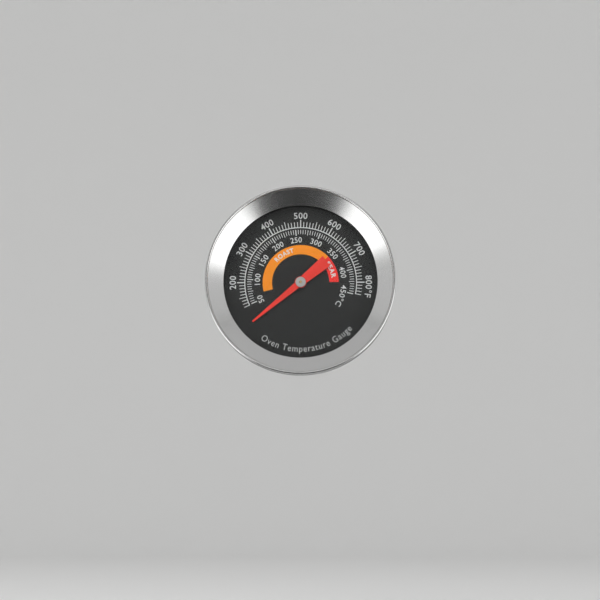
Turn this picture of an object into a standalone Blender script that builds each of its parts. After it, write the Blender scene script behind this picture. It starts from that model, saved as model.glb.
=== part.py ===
"""Dial thermometer for an oven lid: a bimetal stem gauge with a dished steel bezel.

The frame: the stem runs along +Y, the dial faces -Y, +Z is twelve o'clock and +X is three
o'clock. The origin is on the stem's axis, in the plane of the case's seat on the oven lid.
"""

import math

import bmesh
import bpy
from mathutils import Vector

MM = 0.001

# ---- driving dimensions, in millimetres; every station is measured along +Y from the seat ----
FIT = 0.10             # gap between pieces that touch on the real gauge
RUN_FIT = 0.05         # radial gap of the spindle in its bushes
RING_STEPS = 48        # facets round the large rings
SMALL_STEPS = 28       # facets round the small turned pieces

PANEL_GAP = 1.25       # sheet metal that the gauge is clamped on

BEZEL_RADIUS = 31.5    # outside of the gauge
BEZEL_SHEET = 0.42
FACE_WIDTH = 4.93      # radial width of the dished face
FACE_RISE = 3.4        # how far the dished face stands forward at its outer edge
BEAD_BEND = 0.06       # inside bend of the rolled front edge
BEAD_RISE = 0.46       # bead centre in front of the face's outer edge
WALL_STRAIGHT = 4.6    # cylindrical part of the bezel's side
WALL_TAPER = 0.4       # how much the side closes in towards the curl
CURL_BEND = 0.2        # inside bend of the curl that grips the flange
CURL_GAP = 2.6         # from the pan's wall to the curl's edge

PAN_SHEET = 0.5        # case pan
PAN_DEPTH = 4.9        # seat plane to the back of the flange
PAN_CORNER = 2.4       # round between the back and the wall
FLANGE_WIDTH = 4.4     # from the pan's wall to the flange's edge
FLANGE_FLARE = 0.45
SEAT_WIDTH = 7.4       # flat ring that bears on the lid
SEAT_RAMP = 1.7        # radial width of the step up to the seat
RECESS_DEPTH = 0.4

DIAL_SHEET = 0.5
DIAL_HOLE_RADIUS = 1.2
SPACER_HEIGHT = 1.6    # black ring that holds the window off the dial
SPACER_SETBACK = 0.55  # how far its bore stays behind the bezel's opening
LENS_THICKNESS = 1.3
SEAL_CORD_RADIUS = 0.75

THREAD_PITCH = 1.25    # M8 coarse
THREAD_CREST_RADIUS = 4.0
THREAD_DEPTH = 0.767
THREAD_FIT = 0.12      # radial gap between nut and shank threads
THREAD_STEPS = 20
THREAD_LENGTH = 13.6
SHANK_HOLE_FIT = 0.15
HEAD_RADIUS = 7.0
HEAD_HEIGHT = 1.2
NECK_END = 0.5
RELIEF_LENGTH = 0.3    # groove between the neck and the thread
RELIEF_DEPTH = 0.23    # core below the thread's root, shows at both ends of the thread
SHOULDER_LENGTH = 0.8
SPINDLE_BORE_FIT = 0.35

WASHER_SHEET = 0.3     # thin washer under the case, inside the recess
BACKING_RADIUS = 9.0

STEM_RADIUS = 3.0
STEM_WALL = 0.3
STEM_LENGTH = 28.0
SPIGOT_LENGTH = 4.0
PLUG_LENGTH = 3.5
TIP_LENGTH = 2.0

BEARING_LENGTH = 2.0
UPPER_BEARING_RADIUS = 1.9
LOWER_BEARING_RADIUS = 1.6
BEARING_FLANGE_RADIUS = 2.6
BEARING_FLANGE = 0.6

SPINDLE_RADIUS = 0.4
COIL_GAP = 0.4         # coil to the inside of the stem
COIL_STRIP = 0.2
COIL_WIDTH = 1.4
COIL_PITCH = 1.9
COIL_POINTS = 14       # points a turn
COIL_HEADROOM = 2.0    # spigot to the collar
COLLAR_LENGTH = 2.0

POINTER_SHEET = 0.3
POINTER_LIFT = 0.5     # dial to the back of the pointer
POINTER_MARGIN = 4.85  # pointer's tip to the edge of the opening
POINTER_TIP_WIDTH = 0.6
POINTER_ROOT_WIDTH = 2.2
POINTER_TAIL = 11.2
POINTER_TAIL_WIDTH = 4.2
POINTER_TAIL_ROOT_WIDTH = 2.85
POINTER_HUB_RADIUS = 1.95
BUSHING_RADIUS = 0.9
BUSHING_FLANGE_RADIUS = 1.7
BUSHING_FLANGE = 0.25
CAP_RADIUS = 1.75
CAP_HEIGHT = 0.4
SPINDLE_PROUD = 0.12
REST_ANGLE = -129.6    # pointer at 20 degrees C, clockwise from twelve o'clock

WASHER_THICKNESS = 1.0
WASHER_RADIUS = 8.0
WASHER_BORE_FIT = 0.2
NUT_HUB_RADIUS = 6.2
NUT_TOP_RADIUS = 5.2
NUT_HEIGHT = 5.5
NUT_GAP = 0.1
WING_THICKNESS = 2.0
WING_RADIUS = 12.5
WING_TIP_ROUND = 2.5
WING_TIP_HEIGHT = 8.0  # nut's seat to the centre of the wing's tip
WING_ROOT_ROUND = 1.9

# ---- stations that follow from the sizes above ----
BEAD_RADIUS = BEAD_BEND + BEZEL_SHEET
CURL_RADIUS = CURL_BEND + BEZEL_SHEET
FACE_OUTER_RADIUS = BEZEL_RADIUS - 2 * BEAD_RADIUS
OPENING_RADIUS = FACE_OUTER_RADIUS - FACE_WIDTH
FLANGE_RADIUS = BEZEL_RADIUS - WALL_TAPER - BEZEL_SHEET - FIT
PAN_WALL_RADIUS = FLANGE_RADIUS - FLANGE_WIDTH
SEAT_OUTER_RADIUS = PAN_WALL_RADIUS - PAN_CORNER
SEAT_INNER_RADIUS = SEAT_OUTER_RADIUS - SEAT_WIDTH
CURL_INNER_RADIUS = PAN_WALL_RADIUS + CURL_GAP
STACK_RADIUS = FLANGE_RADIUS - FIT
SPACER_BORE_RADIUS = OPENING_RADIUS + SPACER_SETBACK
FLANGE_BACK = -PAN_DEPTH
FLANGE_FRONT = FLANGE_BACK - PAN_SHEET
DIAL_BACK = FLANGE_FRONT - FIT
DIAL_FRONT = DIAL_BACK - DIAL_SHEET
SPACER_BACK = DIAL_FRONT - FIT
SPACER_FRONT = SPACER_BACK - SPACER_HEIGHT
LENS_BACK = SPACER_FRONT - FIT
LENS_FRONT = LENS_BACK - LENS_THICKNESS
FACE_ANGLE = math.atan2(FACE_RISE, FACE_WIDTH)
LIP_FRONT = LENS_FRONT - FIT - BEZEL_SHEET * math.cos(FACE_ANGLE)
FACE_FRONT = LIP_FRONT - FACE_RISE
BEAD_STATION = FACE_FRONT - BEAD_RISE
# the seal's cord lies in the corner between the window and the back of the dished face
SEAL_RADIUS = (
    OPENING_RADIUS
    + BEZEL_SHEET * math.sin(FACE_ANGLE)
    + (SEAL_CORD_RADIUS * (1 + math.cos(FACE_ANGLE)) + FIT) / math.sin(FACE_ANGLE)
)
RECESS_BACK = -RECESS_DEPTH
RECESS_FRONT = RECESS_BACK - PAN_SHEET
HEAD_BACK = RECESS_FRONT - FIT
HEAD_FRONT = HEAD_BACK - HEAD_HEIGHT
SHANK_HOLE_RADIUS = THREAD_CREST_RADIUS + SHANK_HOLE_FIT
THREAD_ROOT_RADIUS = THREAD_CREST_RADIUS - THREAD_DEPTH
THREAD_START = NECK_END + RELIEF_LENGTH
THREAD_END = THREAD_START + THREAD_LENGTH
RELIEF_RADIUS = THREAD_ROOT_RADIUS - RELIEF_DEPTH
SPINDLE_BORE_RADIUS = SPINDLE_RADIUS + SPINDLE_BORE_FIT
SHOULDER_END = THREAD_END + SHOULDER_LENGTH
STEM_BORE_RADIUS = STEM_RADIUS - STEM_WALL
SPIGOT_RADIUS = STEM_BORE_RADIUS - FIT
SPIGOT_END = SHOULDER_END + SPIGOT_LENGTH
STEM_START = SHOULDER_END + FIT
STEM_END = STEM_START + STEM_LENGTH
PLUG_START = STEM_END - PLUG_LENGTH
BUSH_BORE_RADIUS = SPINDLE_RADIUS + RUN_FIT
COIL_RADIUS = STEM_BORE_RADIUS - COIL_GAP
COLLAR_START = SPIGOT_END + COIL_HEADROOM
COIL_START = COLLAR_START + COIL_WIDTH / 2
COIL_END = PLUG_START - FIT - COIL_WIDTH / 2
BUSHING_BACK = DIAL_FRONT - FIT
BUSHING_STEP = BUSHING_BACK - BUSHING_FLANGE
POINTER_BACK = min(DIAL_FRONT - POINTER_LIFT, BUSHING_STEP - FIT)
POINTER_FRONT = POINTER_BACK - POINTER_SHEET
POINTER_LENGTH = OPENING_RADIUS - POINTER_MARGIN
BUSHING_FRONT = POINTER_FRONT - FIT
CAP_BACK = BUSHING_FRONT - FIT
CAP_FRONT = CAP_BACK - CAP_HEIGHT
SPINDLE_FRONT = CAP_FRONT - SPINDLE_PROUD
SPINDLE_END = COLLAR_START + COLLAR_LENGTH + FIT
WASHER_FRONT = PANEL_GAP
WASHER_BACK = WASHER_FRONT + WASHER_THICKNESS
NUT_FRONT = WASHER_BACK + NUT_GAP


# ---- scene, collections and helpers ----
def clear_scene():
    for obj in list(bpy.data.objects):
        bpy.data.objects.remove(obj, do_unlink=True)
    for name in ("Collection",):
        old = bpy.data.collections.get(name)
        if old:
            bpy.data.collections.remove(old)


def new_collection(name):
    collection = bpy.data.collections.new(name)
    bpy.context.scene.collection.children.link(collection)
    return collection


def material(name, color, metallic, roughness, alpha=1.0, transmission=0.0):
    mat = bpy.data.materials.new(name)
    mat.use_nodes = True
    shader = mat.node_tree.nodes["Principled BSDF"]
    shader.inputs["Base Color"].default_value = (*color, 1.0)
    shader.inputs["Metallic"].default_value = metallic
    shader.inputs["Roughness"].default_value = roughness
    shader.inputs["Alpha"].default_value = alpha
    shader.inputs["Transmission Weight"].default_value = transmission
    mat.diffuse_color = (*color, alpha)
    return mat


def smooth_by_angle_group():
    """A node group that shades a mesh smooth and keeps edges over 35 degrees sharp."""
    group = bpy.data.node_groups.new("smooth_by_angle", "GeometryNodeTree")
    group.interface.new_socket("Geometry", in_out="INPUT", socket_type="NodeSocketGeometry")
    group.interface.new_socket("Geometry", in_out="OUTPUT", socket_type="NodeSocketGeometry")
    nodes, links = group.nodes, group.links
    start = nodes.new("NodeGroupInput")
    end = nodes.new("NodeGroupOutput")
    angle = nodes.new("GeometryNodeInputMeshEdgeAngle")
    flat = nodes.new("FunctionNodeCompare")
    flat.data_type = "FLOAT"
    flat.operation = "LESS_THAN"
    flat.inputs[1].default_value = math.radians(35)
    faces = nodes.new("GeometryNodeSetShadeSmooth")
    faces.domain = "FACE"
    edges = nodes.new("GeometryNodeSetShadeSmooth")
    edges.domain = "EDGE"
    links.new(angle.outputs["Unsigned Angle"], flat.inputs[0])
    links.new(start.outputs[0], faces.inputs["Geometry"])
    links.new(faces.outputs[0], edges.inputs["Geometry"])
    links.new(flat.outputs[0], edges.inputs["Shade Smooth"])
    links.new(edges.outputs[0], end.inputs[0])
    return group


def shade(obj):
    modifier = obj.modifiers.new("smooth_by_angle", "NODES")
    modifier.node_group = bpy.data.node_groups["smooth_by_angle"]


def axis_empty(name, parent=None, station=0.0, rotation=None):
    """An empty on the stem's axis, its local Z along the stem (+Y of the world)."""
    empty = bpy.data.objects.new(name, None)
    PARTS.objects.link(empty)
    empty.empty_display_size = 5 * MM
    if parent:
        empty.parent = parent
    else:
        empty.rotation_euler = (-math.pi / 2, 0, 0)
    empty.location = (0, 0, station * MM)
    if rotation:
        empty.rotation_euler = rotation
    return empty


def put(obj, parent, station, mat, collection=None):
    (collection or PARTS).objects.link(obj)
    obj.parent = parent
    obj.location = (0, 0, station * MM)
    if mat:
        obj.data.materials.append(mat)
    return obj


def as_cutter(obj):
    obj.hide_render = True
    obj.display_type = "WIRE"
    return obj


def signed_area(loop):
    return sum(a[0] * b[1] - b[0] * a[1] for a, b in zip(loop, loop[1:] + loop[:1])) / 2


def turned(name, outline, steps):
    """A solid of revolution about local Z. The outline is a closed (radius, station) section,
    in either direction; where it touches the axis it is left open there."""
    points = list(outline)
    if signed_area(points) > 0:
        points.reverse()
    on_axis = [i for i, p in enumerate(points) if p[0] == 0]
    is_open = len(on_axis) == 2
    if is_open:
        first = next(i for i in on_axis if points[i - 1][0] == 0)
        points = points[first:] + points[:first]
    mesh = bpy.data.meshes.new(name)
    count = len(points)
    ends = [(i, (i + 1) % count) for i in range(count - 1 if is_open else count)]
    mesh.from_pydata([(r * MM, 0, z * MM) for r, z in points], ends, [])
    obj = bpy.data.objects.new(name, mesh)
    screw = obj.modifiers.new("turn", "SCREW")
    screw.axis = "Z"
    screw.angle = 2 * math.pi
    screw.steps = screw.render_steps = steps
    screw.use_merge_vertices = True
    screw.merge_threshold = 1e-6
    screw.use_smooth_shade = False
    return obj


def sheet_section(path, thickness):
    """The closed section of sheet metal with one face on the path and the rest on its left."""
    offset = []
    for i, point in enumerate(path):
        here = Vector(point)
        before = (here - Vector(path[i - 1])).normalized() if i else None
        after = (Vector(path[i + 1]) - here).normalized() if i + 1 < len(path) else None
        if before is None or after is None:
            along = after if before is None else before
            offset.append(here + Vector((-along.y, along.x)) * thickness)
            continue
        left_a, left_b = Vector((-before.y, before.x)), Vector((-after.y, after.x))
        middle = (left_a + left_b).normalized()
        offset.append(here + middle * (thickness / middle.dot(left_a)))
    return [tuple(p) for p in path] + [tuple(p) for p in reversed(offset)]


def arc(centre, radius, start, end, count):
    """Points of an arc in (radius, station); angles in degrees from +radius towards -station."""
    found = []
    for i in range(count):
        turn = math.radians(start + (end - start) * i / (count - 1))
        found.append((centre[0] + radius * math.cos(turn), centre[1] - radius * math.sin(turn)))
    return found


def evaluated_mesh(obj):
    bpy.context.view_layer.update()
    graph = bpy.context.evaluated_depsgraph_get()
    return bpy.data.meshes.new_from_object(obj.evaluated_get(graph))


def threaded_rod(name, root, crest, start, end, steps):
    """A solid screw thread about local Z between two stations. Every rod made here shares one
    helix, so that a nut cut with a wider rod is in mesh with its shank."""
    crest_flat, root_flat = THREAD_PITCH / 8, THREAD_PITCH / 4
    flank = (THREAD_PITCH - crest_flat - root_flat) / 2
    ridge = [
        (root, 0),
        (root, root_flat),
        (crest, root_flat + flank),
        (crest, root_flat + flank + crest_flat),
        (root, THREAD_PITCH),
    ]
    first = math.floor(start / THREAD_PITCH) - 2
    turns = math.ceil(end / THREAD_PITCH) - first + 2
    mesh = bpy.data.meshes.new(name)
    shape = [(r * MM, 0, (z + first * THREAD_PITCH) * MM) for r, z in ridge]
    mesh.from_pydata(shape, [(i, i + 1) for i in range(len(shape) - 1)], [])
    guide = bpy.data.objects.new(name + "_helix", mesh)
    CUTTERS.objects.link(guide)
    screw = guide.modifiers.new("thread", "SCREW")
    screw.axis = "Z"
    screw.angle = 2 * math.pi
    screw.screw_offset = THREAD_PITCH * MM
    screw.iterations = turns
    screw.steps = screw.render_steps = steps
    screw.use_merge_vertices = True
    screw.merge_threshold = 1e-6
    found = evaluated_mesh(guide)
    bpy.data.objects.remove(guide, do_unlink=True)
    bm = bmesh.new()
    bm.from_mesh(found)
    bmesh.ops.remove_doubles(bm, verts=bm.verts, dist=1e-7)
    for station, way in ((start, -1), (end, 1)):
        bmesh.ops.bisect_plane(
            bm,
            geom=bm.verts[:] + bm.edges[:] + bm.faces[:],
            dist=1e-8,
            plane_co=(0, 0, station * MM),
            plane_no=(0, 0, way),
            clear_outer=True,
        )
    rim = [edge for edge in bm.edges if edge.is_boundary]
    bmesh.ops.holes_fill(bm, edges=rim, sides=0)
    bmesh.ops.recalc_face_normals(bm, faces=bm.faces)
    if bm.calc_volume(signed=True) < 0:
        bmesh.ops.reverse_faces(bm, faces=bm.faces)
    bm.to_mesh(found)
    bm.free()
    found.name = name
    return bpy.data.objects.new(name, found)


def flat_outline(name, splines, thickness):
    """A flat sheet in local XY, centred on local Z = 0, from closed outlines; inner ones are
    holes."""
    curve = bpy.data.curves.new(name, "CURVE")
    curve.dimensions = "2D"
    curve.fill_mode = "BOTH"
    curve.extrude = thickness / 2 * MM
    for points in splines:
        spline = curve.splines.new("POLY")
        spline.points.add(len(points) - 1)
        for point, (x, y) in zip(spline.points, points):
            point.co = (x * MM, y * MM, 0, 1)
        spline.use_cyclic_u = True
    return bpy.data.objects.new(name, curve)


def circle(radius, steps, centre=(0.0, 0.0)):
    turns = [2 * math.pi * i / steps for i in range(steps)]
    return [(centre[0] + radius * math.cos(t), centre[1] + radius * math.sin(t)) for t in turns]


def curve_to_mesh(obj):
    """The welded mesh object of a curve, in the same place."""
    mesh = evaluated_mesh(obj)
    bm = bmesh.new()
    bm.from_mesh(mesh)
    bmesh.ops.remove_doubles(bm, verts=bm.verts, dist=1e-7)
    bmesh.ops.recalc_face_normals(bm, faces=bm.faces)
    bm.to_mesh(mesh)
    bm.free()
    made = bpy.data.objects.new(obj.name + "_mesh", mesh)
    made.matrix_world = obj.matrix_world
    bpy.data.objects.remove(obj, do_unlink=True)
    return made


def boolean(obj, other, operation):
    modifier = obj.modifiers.new(operation.lower() + "_" + other.name, "BOOLEAN")
    modifier.operation = operation
    modifier.solver = "EXACT"
    modifier.object = other


def ring(inner, outer, back, front):
    return [(inner, back), (outer, back), (outer, front), (inner, front)]


# ---- materials ----
def make_materials():
    return {
        "satin_steel": material("satin_steel", (0.62, 0.62, 0.61), 1.0, 0.28),
        "case_steel": material("case_steel", (0.52, 0.52, 0.51), 1.0, 0.35),
        "glass": material("window_glass", (1.0, 1.0, 1.0), 0.0, 0.02, 0.25, 1.0),
        "black_rubber": material("seal_rubber", (0.03, 0.03, 0.03), 0.0, 0.6),
        "black_paint": material("spacer_black", (0.02, 0.02, 0.02), 0.0, 0.5),
        "dial_black": material("dial_black", (0.035, 0.036, 0.038), 0.0, 0.45),
        "shank_steel": material("shank_steel", (0.60, 0.59, 0.57), 1.0, 0.30),
        "backing_steel": material("backing_steel", (0.55, 0.55, 0.54), 1.0, 0.4),
        "stem_steel": material("stem_steel", (0.60, 0.60, 0.59), 1.0, 0.25),
        "tip_steel": material("tip_steel", (0.58, 0.58, 0.57), 1.0, 0.3),
        "bearing_a": material("bearing_upper", (0.75, 0.72, 0.62), 0.0, 0.5),
        "bearing_b": material("bearing_lower", (0.75, 0.72, 0.62), 0.0, 0.5),
        "bimetal": material("bimetal_strip", (0.50, 0.46, 0.42), 1.0, 0.35),
        "pointer_red": material("pointer_red", (0.85, 0.06, 0.04), 0.0, 0.4),
        "brass": material("bushing_brass", (0.78, 0.57, 0.26), 1.0, 0.3),
        "cap_silver": material("cap_silver", (0.72, 0.72, 0.72), 1.0, 0.3),
        "spindle_brass": material("spindle_brass", (0.80, 0.60, 0.30), 1.0, 0.3),
        "collar_brass": material("collar_brass", (0.76, 0.55, 0.26), 1.0, 0.35),
        "washer_steel": material("washer_steel", (0.58, 0.58, 0.57), 1.0, 0.32),
        "nut_steel": material("nut_steel", (0.60, 0.60, 0.58), 1.0, 0.3),
    }


# ---- the fixed body ----
def make_case_pan(axis, mats):
    back = [
        (SHANK_HOLE_RADIUS, RECESS_BACK),
        (SEAT_INNER_RADIUS - SEAT_RAMP, RECESS_BACK),
        (SEAT_INNER_RADIUS, 0.0),
    ]
    back += arc((SEAT_OUTER_RADIUS, -PAN_CORNER), PAN_CORNER, -90, 0, 5)
    back += [
        (PAN_WALL_RADIUS, FLANGE_BACK + FLANGE_FLARE),
        (PAN_WALL_RADIUS + FLANGE_FLARE, FLANGE_BACK),
        (FLANGE_RADIUS, FLANGE_BACK),
    ]
    # the path runs outwards over the back, and the sheet lies in front of it
    section = sheet_section(list(reversed(back)), PAN_SHEET)
    obj = turned("case_pan", section, RING_STEPS)
    return put(obj, axis, 0, mats["case_steel"])


def bezel_path():
    bead = (BEZEL_RADIUS - BEAD_RADIUS, BEAD_STATION)
    wall_end = BEAD_STATION + WALL_STRAIGHT
    curl = (BEZEL_RADIUS - WALL_TAPER - CURL_RADIUS, FLANGE_BACK + 2 * FIT - CURL_BEND)
    path = [(OPENING_RADIUS, LIP_FRONT), (FACE_OUTER_RADIUS, FACE_FRONT)]
    path += arc(bead, BEAD_RADIUS, 165, 0, 6)
    path += [(BEZEL_RADIUS, wall_end)]
    path += arc(curl, CURL_RADIUS, 0, -90, 4)
    path += [(CURL_INNER_RADIUS, curl[1] + CURL_RADIUS)]
    return path


def make_bezel(axis, mats):
    section = sheet_section(bezel_path(), BEZEL_SHEET)
    obj = turned("bezel", section, RING_STEPS)
    return put(obj, axis, 0, mats["satin_steel"])


def make_stack(axis, mats):
    """Dial plate, spacer, window and seal, clamped between the flange and the bezel."""
    rim = STACK_RADIUS
    dial = turned("dial_plate", ring(DIAL_HOLE_RADIUS, rim, 0, -DIAL_SHEET), RING_STEPS)
    put(dial, axis, DIAL_BACK, mats["dial_black"])
    spacer = turned("spacer_ring", ring(SPACER_BORE_RADIUS, rim, 0, -SPACER_HEIGHT), RING_STEPS)
    put(spacer, axis, SPACER_BACK, mats["black_paint"])
    chamfer = 0.15
    window = [
        (0, 0),
        (rim - chamfer, 0),
        (rim, -chamfer),
        (rim, chamfer - LENS_THICKNESS),
        (rim - chamfer, -LENS_THICKNESS),
        (0, -LENS_THICKNESS),
    ]
    put(turned("lens", window, RING_STEPS), axis, LENS_BACK, mats["glass"])
    cord = [
        (SEAL_RADIUS + SEAL_CORD_RADIUS * math.cos(t), SEAL_CORD_RADIUS * math.sin(t))
        for t in (2 * math.pi * (i + 0.5) / 6 for i in range(6))
    ]
    seal = turned("lens_gasket", cord, RING_STEPS)
    put(seal, axis, LENS_FRONT - FIT - SEAL_CORD_RADIUS, mats["black_rubber"])


def make_shank(axis, mats):
    """Headed M8 shank: its head is inside the pan, and the stem slides on its spigot."""
    core = [
        (0, HEAD_FRONT),
        (HEAD_RADIUS, HEAD_FRONT),
        (HEAD_RADIUS, HEAD_BACK),
        (THREAD_CREST_RADIUS, HEAD_BACK),
        (THREAD_CREST_RADIUS, NECK_END),
        (RELIEF_RADIUS, NECK_END),
        (RELIEF_RADIUS, SHOULDER_END),
        (SPIGOT_RADIUS, SHOULDER_END),
        (SPIGOT_RADIUS, SPIGOT_END),
        (0, SPIGOT_END),
    ]
    shank = put(turned("threaded_shank", core, THREAD_STEPS), axis, 0, mats["shank_steel"])
    rod = threaded_rod(
        "shank_thread", THREAD_ROOT_RADIUS, THREAD_CREST_RADIUS, THREAD_START, THREAD_END,
        THREAD_STEPS,
    )
    as_cutter(put(rod, axis, 0, None, CUTTERS))
    clear = 0.5
    bores = [
        (0, HEAD_FRONT - clear),
        (UPPER_BEARING_RADIUS + FIT, HEAD_FRONT - clear),
        (UPPER_BEARING_RADIUS + FIT, HEAD_FRONT + BEARING_LENGTH + FIT),
        (SPINDLE_BORE_RADIUS, HEAD_FRONT + BEARING_LENGTH + FIT),
        (SPINDLE_BORE_RADIUS, SPIGOT_END - BEARING_LENGTH - FIT),
        (LOWER_BEARING_RADIUS + FIT, SPIGOT_END - BEARING_LENGTH - FIT),
        (LOWER_BEARING_RADIUS + FIT, SPIGOT_END + clear),
        (0, SPIGOT_END + clear),
    ]
    bore = as_cutter(put(turned("shank_bores", bores, SMALL_STEPS), axis, 0, None, CUTTERS))
    boolean(shank, rod, "UNION")
    boolean(shank, bore, "DIFFERENCE")

    backing = ring(SHANK_HOLE_RADIUS, BACKING_RADIUS, 0, WASHER_SHEET)
    put(turned("backing_washer", backing, RING_STEPS), axis, RECESS_BACK + FIT / 2,
        mats["backing_steel"])


def make_bearings(axis, mats):
    upper = [
        (BUSH_BORE_RADIUS, -FIT - BEARING_FLANGE),
        (BEARING_FLANGE_RADIUS, -FIT - BEARING_FLANGE),
        (BEARING_FLANGE_RADIUS, -FIT),
        (UPPER_BEARING_RADIUS, -FIT),
        (UPPER_BEARING_RADIUS, BEARING_LENGTH),
        (BUSH_BORE_RADIUS, BEARING_LENGTH),
    ]
    put(turned("upper_bearing", upper, SMALL_STEPS), axis, HEAD_FRONT, mats["bearing_a"])
    lower = ring(BUSH_BORE_RADIUS, LOWER_BEARING_RADIUS, 0, BEARING_LENGTH)
    put(turned("lower_bearing", lower, SMALL_STEPS), axis, SPIGOT_END - BEARING_LENGTH,
        mats["bearing_b"])


def make_stem(axis, mats):
    tube = ring(STEM_BORE_RADIUS, STEM_RADIUS, 0, STEM_LENGTH)
    put(turned("stem_tube", tube, SMALL_STEPS), axis, STEM_START, mats["stem_steel"])
    plug = [
        (0, -PLUG_LENGTH),
        (STEM_BORE_RADIUS - FIT, -PLUG_LENGTH),
        (STEM_BORE_RADIUS - FIT, FIT),
        (STEM_RADIUS, FIT),
    ]
    dome = TIP_LENGTH - FIT
    plug += [
        (STEM_RADIUS * math.cos(t), FIT + dome * math.sin(t))
        for t in (math.radians(a) for a in (25, 50, 72))
    ]
    plug += [(0, TIP_LENGTH)]
    put(turned("stem_tip_plug", plug, SMALL_STEPS), axis, STEM_END, mats["tip_steel"])


def make_coil(axis, mats):
    """The bimetal helix: a flat strip on edge, from the collar down to the tip plug."""
    section = bpy.data.curves.new("strip_section", "CURVE")
    section.dimensions = "2D"
    outline = section.splines.new("POLY")
    outline.points.add(3)
    half = COIL_STRIP / 2, COIL_WIDTH / 2
    for point, (x, y) in zip(outline.points, ((-1, -1), (1, -1), (1, 1), (-1, 1))):
        point.co = (x * half[0] * MM, y * half[1] * MM, 0, 1)
    outline.use_cyclic_u = True
    guide = as_cutter(put(bpy.data.objects.new("strip_section", section), axis, 0, None, CUTTERS))

    curve = bpy.data.curves.new("bimetal_coil", "CURVE")
    curve.dimensions = "3D"
    curve.twist_mode = "Z_UP"
    curve.bevel_mode = "OBJECT"
    curve.bevel_object = guide
    curve.use_fill_caps = True
    turns = (COIL_END - COIL_START) / COIL_PITCH
    count = max(int(round(turns * COIL_POINTS)), 8) + 1
    spline = curve.splines.new("POLY")
    spline.points.add(count - 1)
    middle = COIL_RADIUS - COIL_STRIP / 2
    for i, point in enumerate(spline.points):
        share = i / (count - 1)
        turn = 2 * math.pi * turns * share
        along = (COIL_END - COIL_START) * share
        point.co = (middle * math.cos(turn) * MM, middle * math.sin(turn) * MM, along * MM, 1)
    swept = put(bpy.data.objects.new("coil_path", curve), axis, COIL_START, None, CUTTERS)
    coil = curve_to_mesh(swept)
    coil.name = "bimetal_coil"
    coil.data.materials.append(mats["bimetal"])
    PARTS.objects.link(coil)
    coil.parent = axis
    coil.matrix_parent_inverse.identity()
    coil.matrix_basis = axis.matrix_world.inverted() @ coil.matrix_world


# ---- the pointer body: everything that turns with the spindle ----
def make_pointer(axis, mats):
    """The axis empty is turned, so the pointer's tip lies along its local -Y."""
    def side(x, y):
        return [(x, y)]

    hub = POINTER_HUB_RADIUS
    root, tail = POINTER_ROOT_WIDTH / 2, POINTER_TAIL_ROOT_WIDTH / 2
    root_turn, tail_turn = math.asin(root / hub), math.asin(min(tail / hub, 0.98))
    slant = 0.35
    outline = side(POINTER_TIP_WIDTH / 2, -POINTER_LENGTH)
    for i in range(7):
        turn = -math.pi / 2 + root_turn + (math.pi - root_turn - tail_turn) * i / 6
        outline.append((hub * math.cos(turn), hub * math.sin(turn)))
    outline += side(POINTER_TAIL_WIDTH / 2, POINTER_TAIL + slant / 2)
    outline += side(-POINTER_TAIL_WIDTH / 2, POINTER_TAIL - slant / 2)
    for i in range(7):
        turn = math.pi / 2 + tail_turn + (math.pi - root_turn - tail_turn) * i / 6
        outline.append((hub * math.cos(turn), hub * math.sin(turn)))
    outline += side(-POINTER_TIP_WIDTH / 2, -POINTER_LENGTH)
    hole = circle(BUSHING_RADIUS + FIT, 20)
    blade = flat_outline("pointer", [outline, hole], POINTER_SHEET)
    put(blade, axis, (POINTER_BACK + POINTER_FRONT) / 2, mats["pointer_red"])

    bushing = [
        (BUSH_BORE_RADIUS, BUSHING_BACK),
        (BUSHING_FLANGE_RADIUS, BUSHING_BACK),
        (BUSHING_FLANGE_RADIUS, BUSHING_STEP),
        (BUSHING_RADIUS, BUSHING_STEP),
        (BUSHING_RADIUS, BUSHING_FRONT),
        (BUSH_BORE_RADIUS, BUSHING_FRONT),
    ]
    put(turned("pointer_bushing", bushing, SMALL_STEPS), axis, 0, mats["brass"])

    edge = 0.12
    cap = [
        (BUSH_BORE_RADIUS, 0),
        (CAP_RADIUS, 0),
        (CAP_RADIUS, edge - CAP_HEIGHT),
        (CAP_RADIUS - edge, -CAP_HEIGHT),
        (BUSH_BORE_RADIUS, -CAP_HEIGHT),
    ]
    put(turned("pointer_cap", cap, SMALL_STEPS), axis, CAP_BACK, mats["cap_silver"])

    rod = [
        (0, SPINDLE_FRONT),
        (SPINDLE_RADIUS, SPINDLE_FRONT),
        (SPINDLE_RADIUS, SPINDLE_END),
        (0, SPINDLE_END),
    ]
    put(turned("spindle", rod, 16), axis, 0, mats["spindle_brass"])

    grip = COIL_RADIUS - COIL_STRIP - FIT
    collar = ring(BUSH_BORE_RADIUS, grip, 0, COLLAR_LENGTH)
    put(turned("coil_collar", collar, 20), axis, COLLAR_START, mats["collar_brass"])


# ---- the washer and the wing nut that clamp the gauge to the lid ----
def make_washer(axis, mats):
    chamfer = 0.2
    inner = THREAD_CREST_RADIUS + WASHER_BORE_FIT
    section = [
        (inner, 0),
        (WASHER_RADIUS, 0),
        (WASHER_RADIUS, WASHER_THICKNESS - chamfer),
        (WASHER_RADIUS - chamfer, WASHER_THICKNESS),
        (inner, WASHER_THICKNESS),
    ]
    put(turned("flat_washer", section, 36), axis, 0, mats["washer_steel"])


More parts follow.
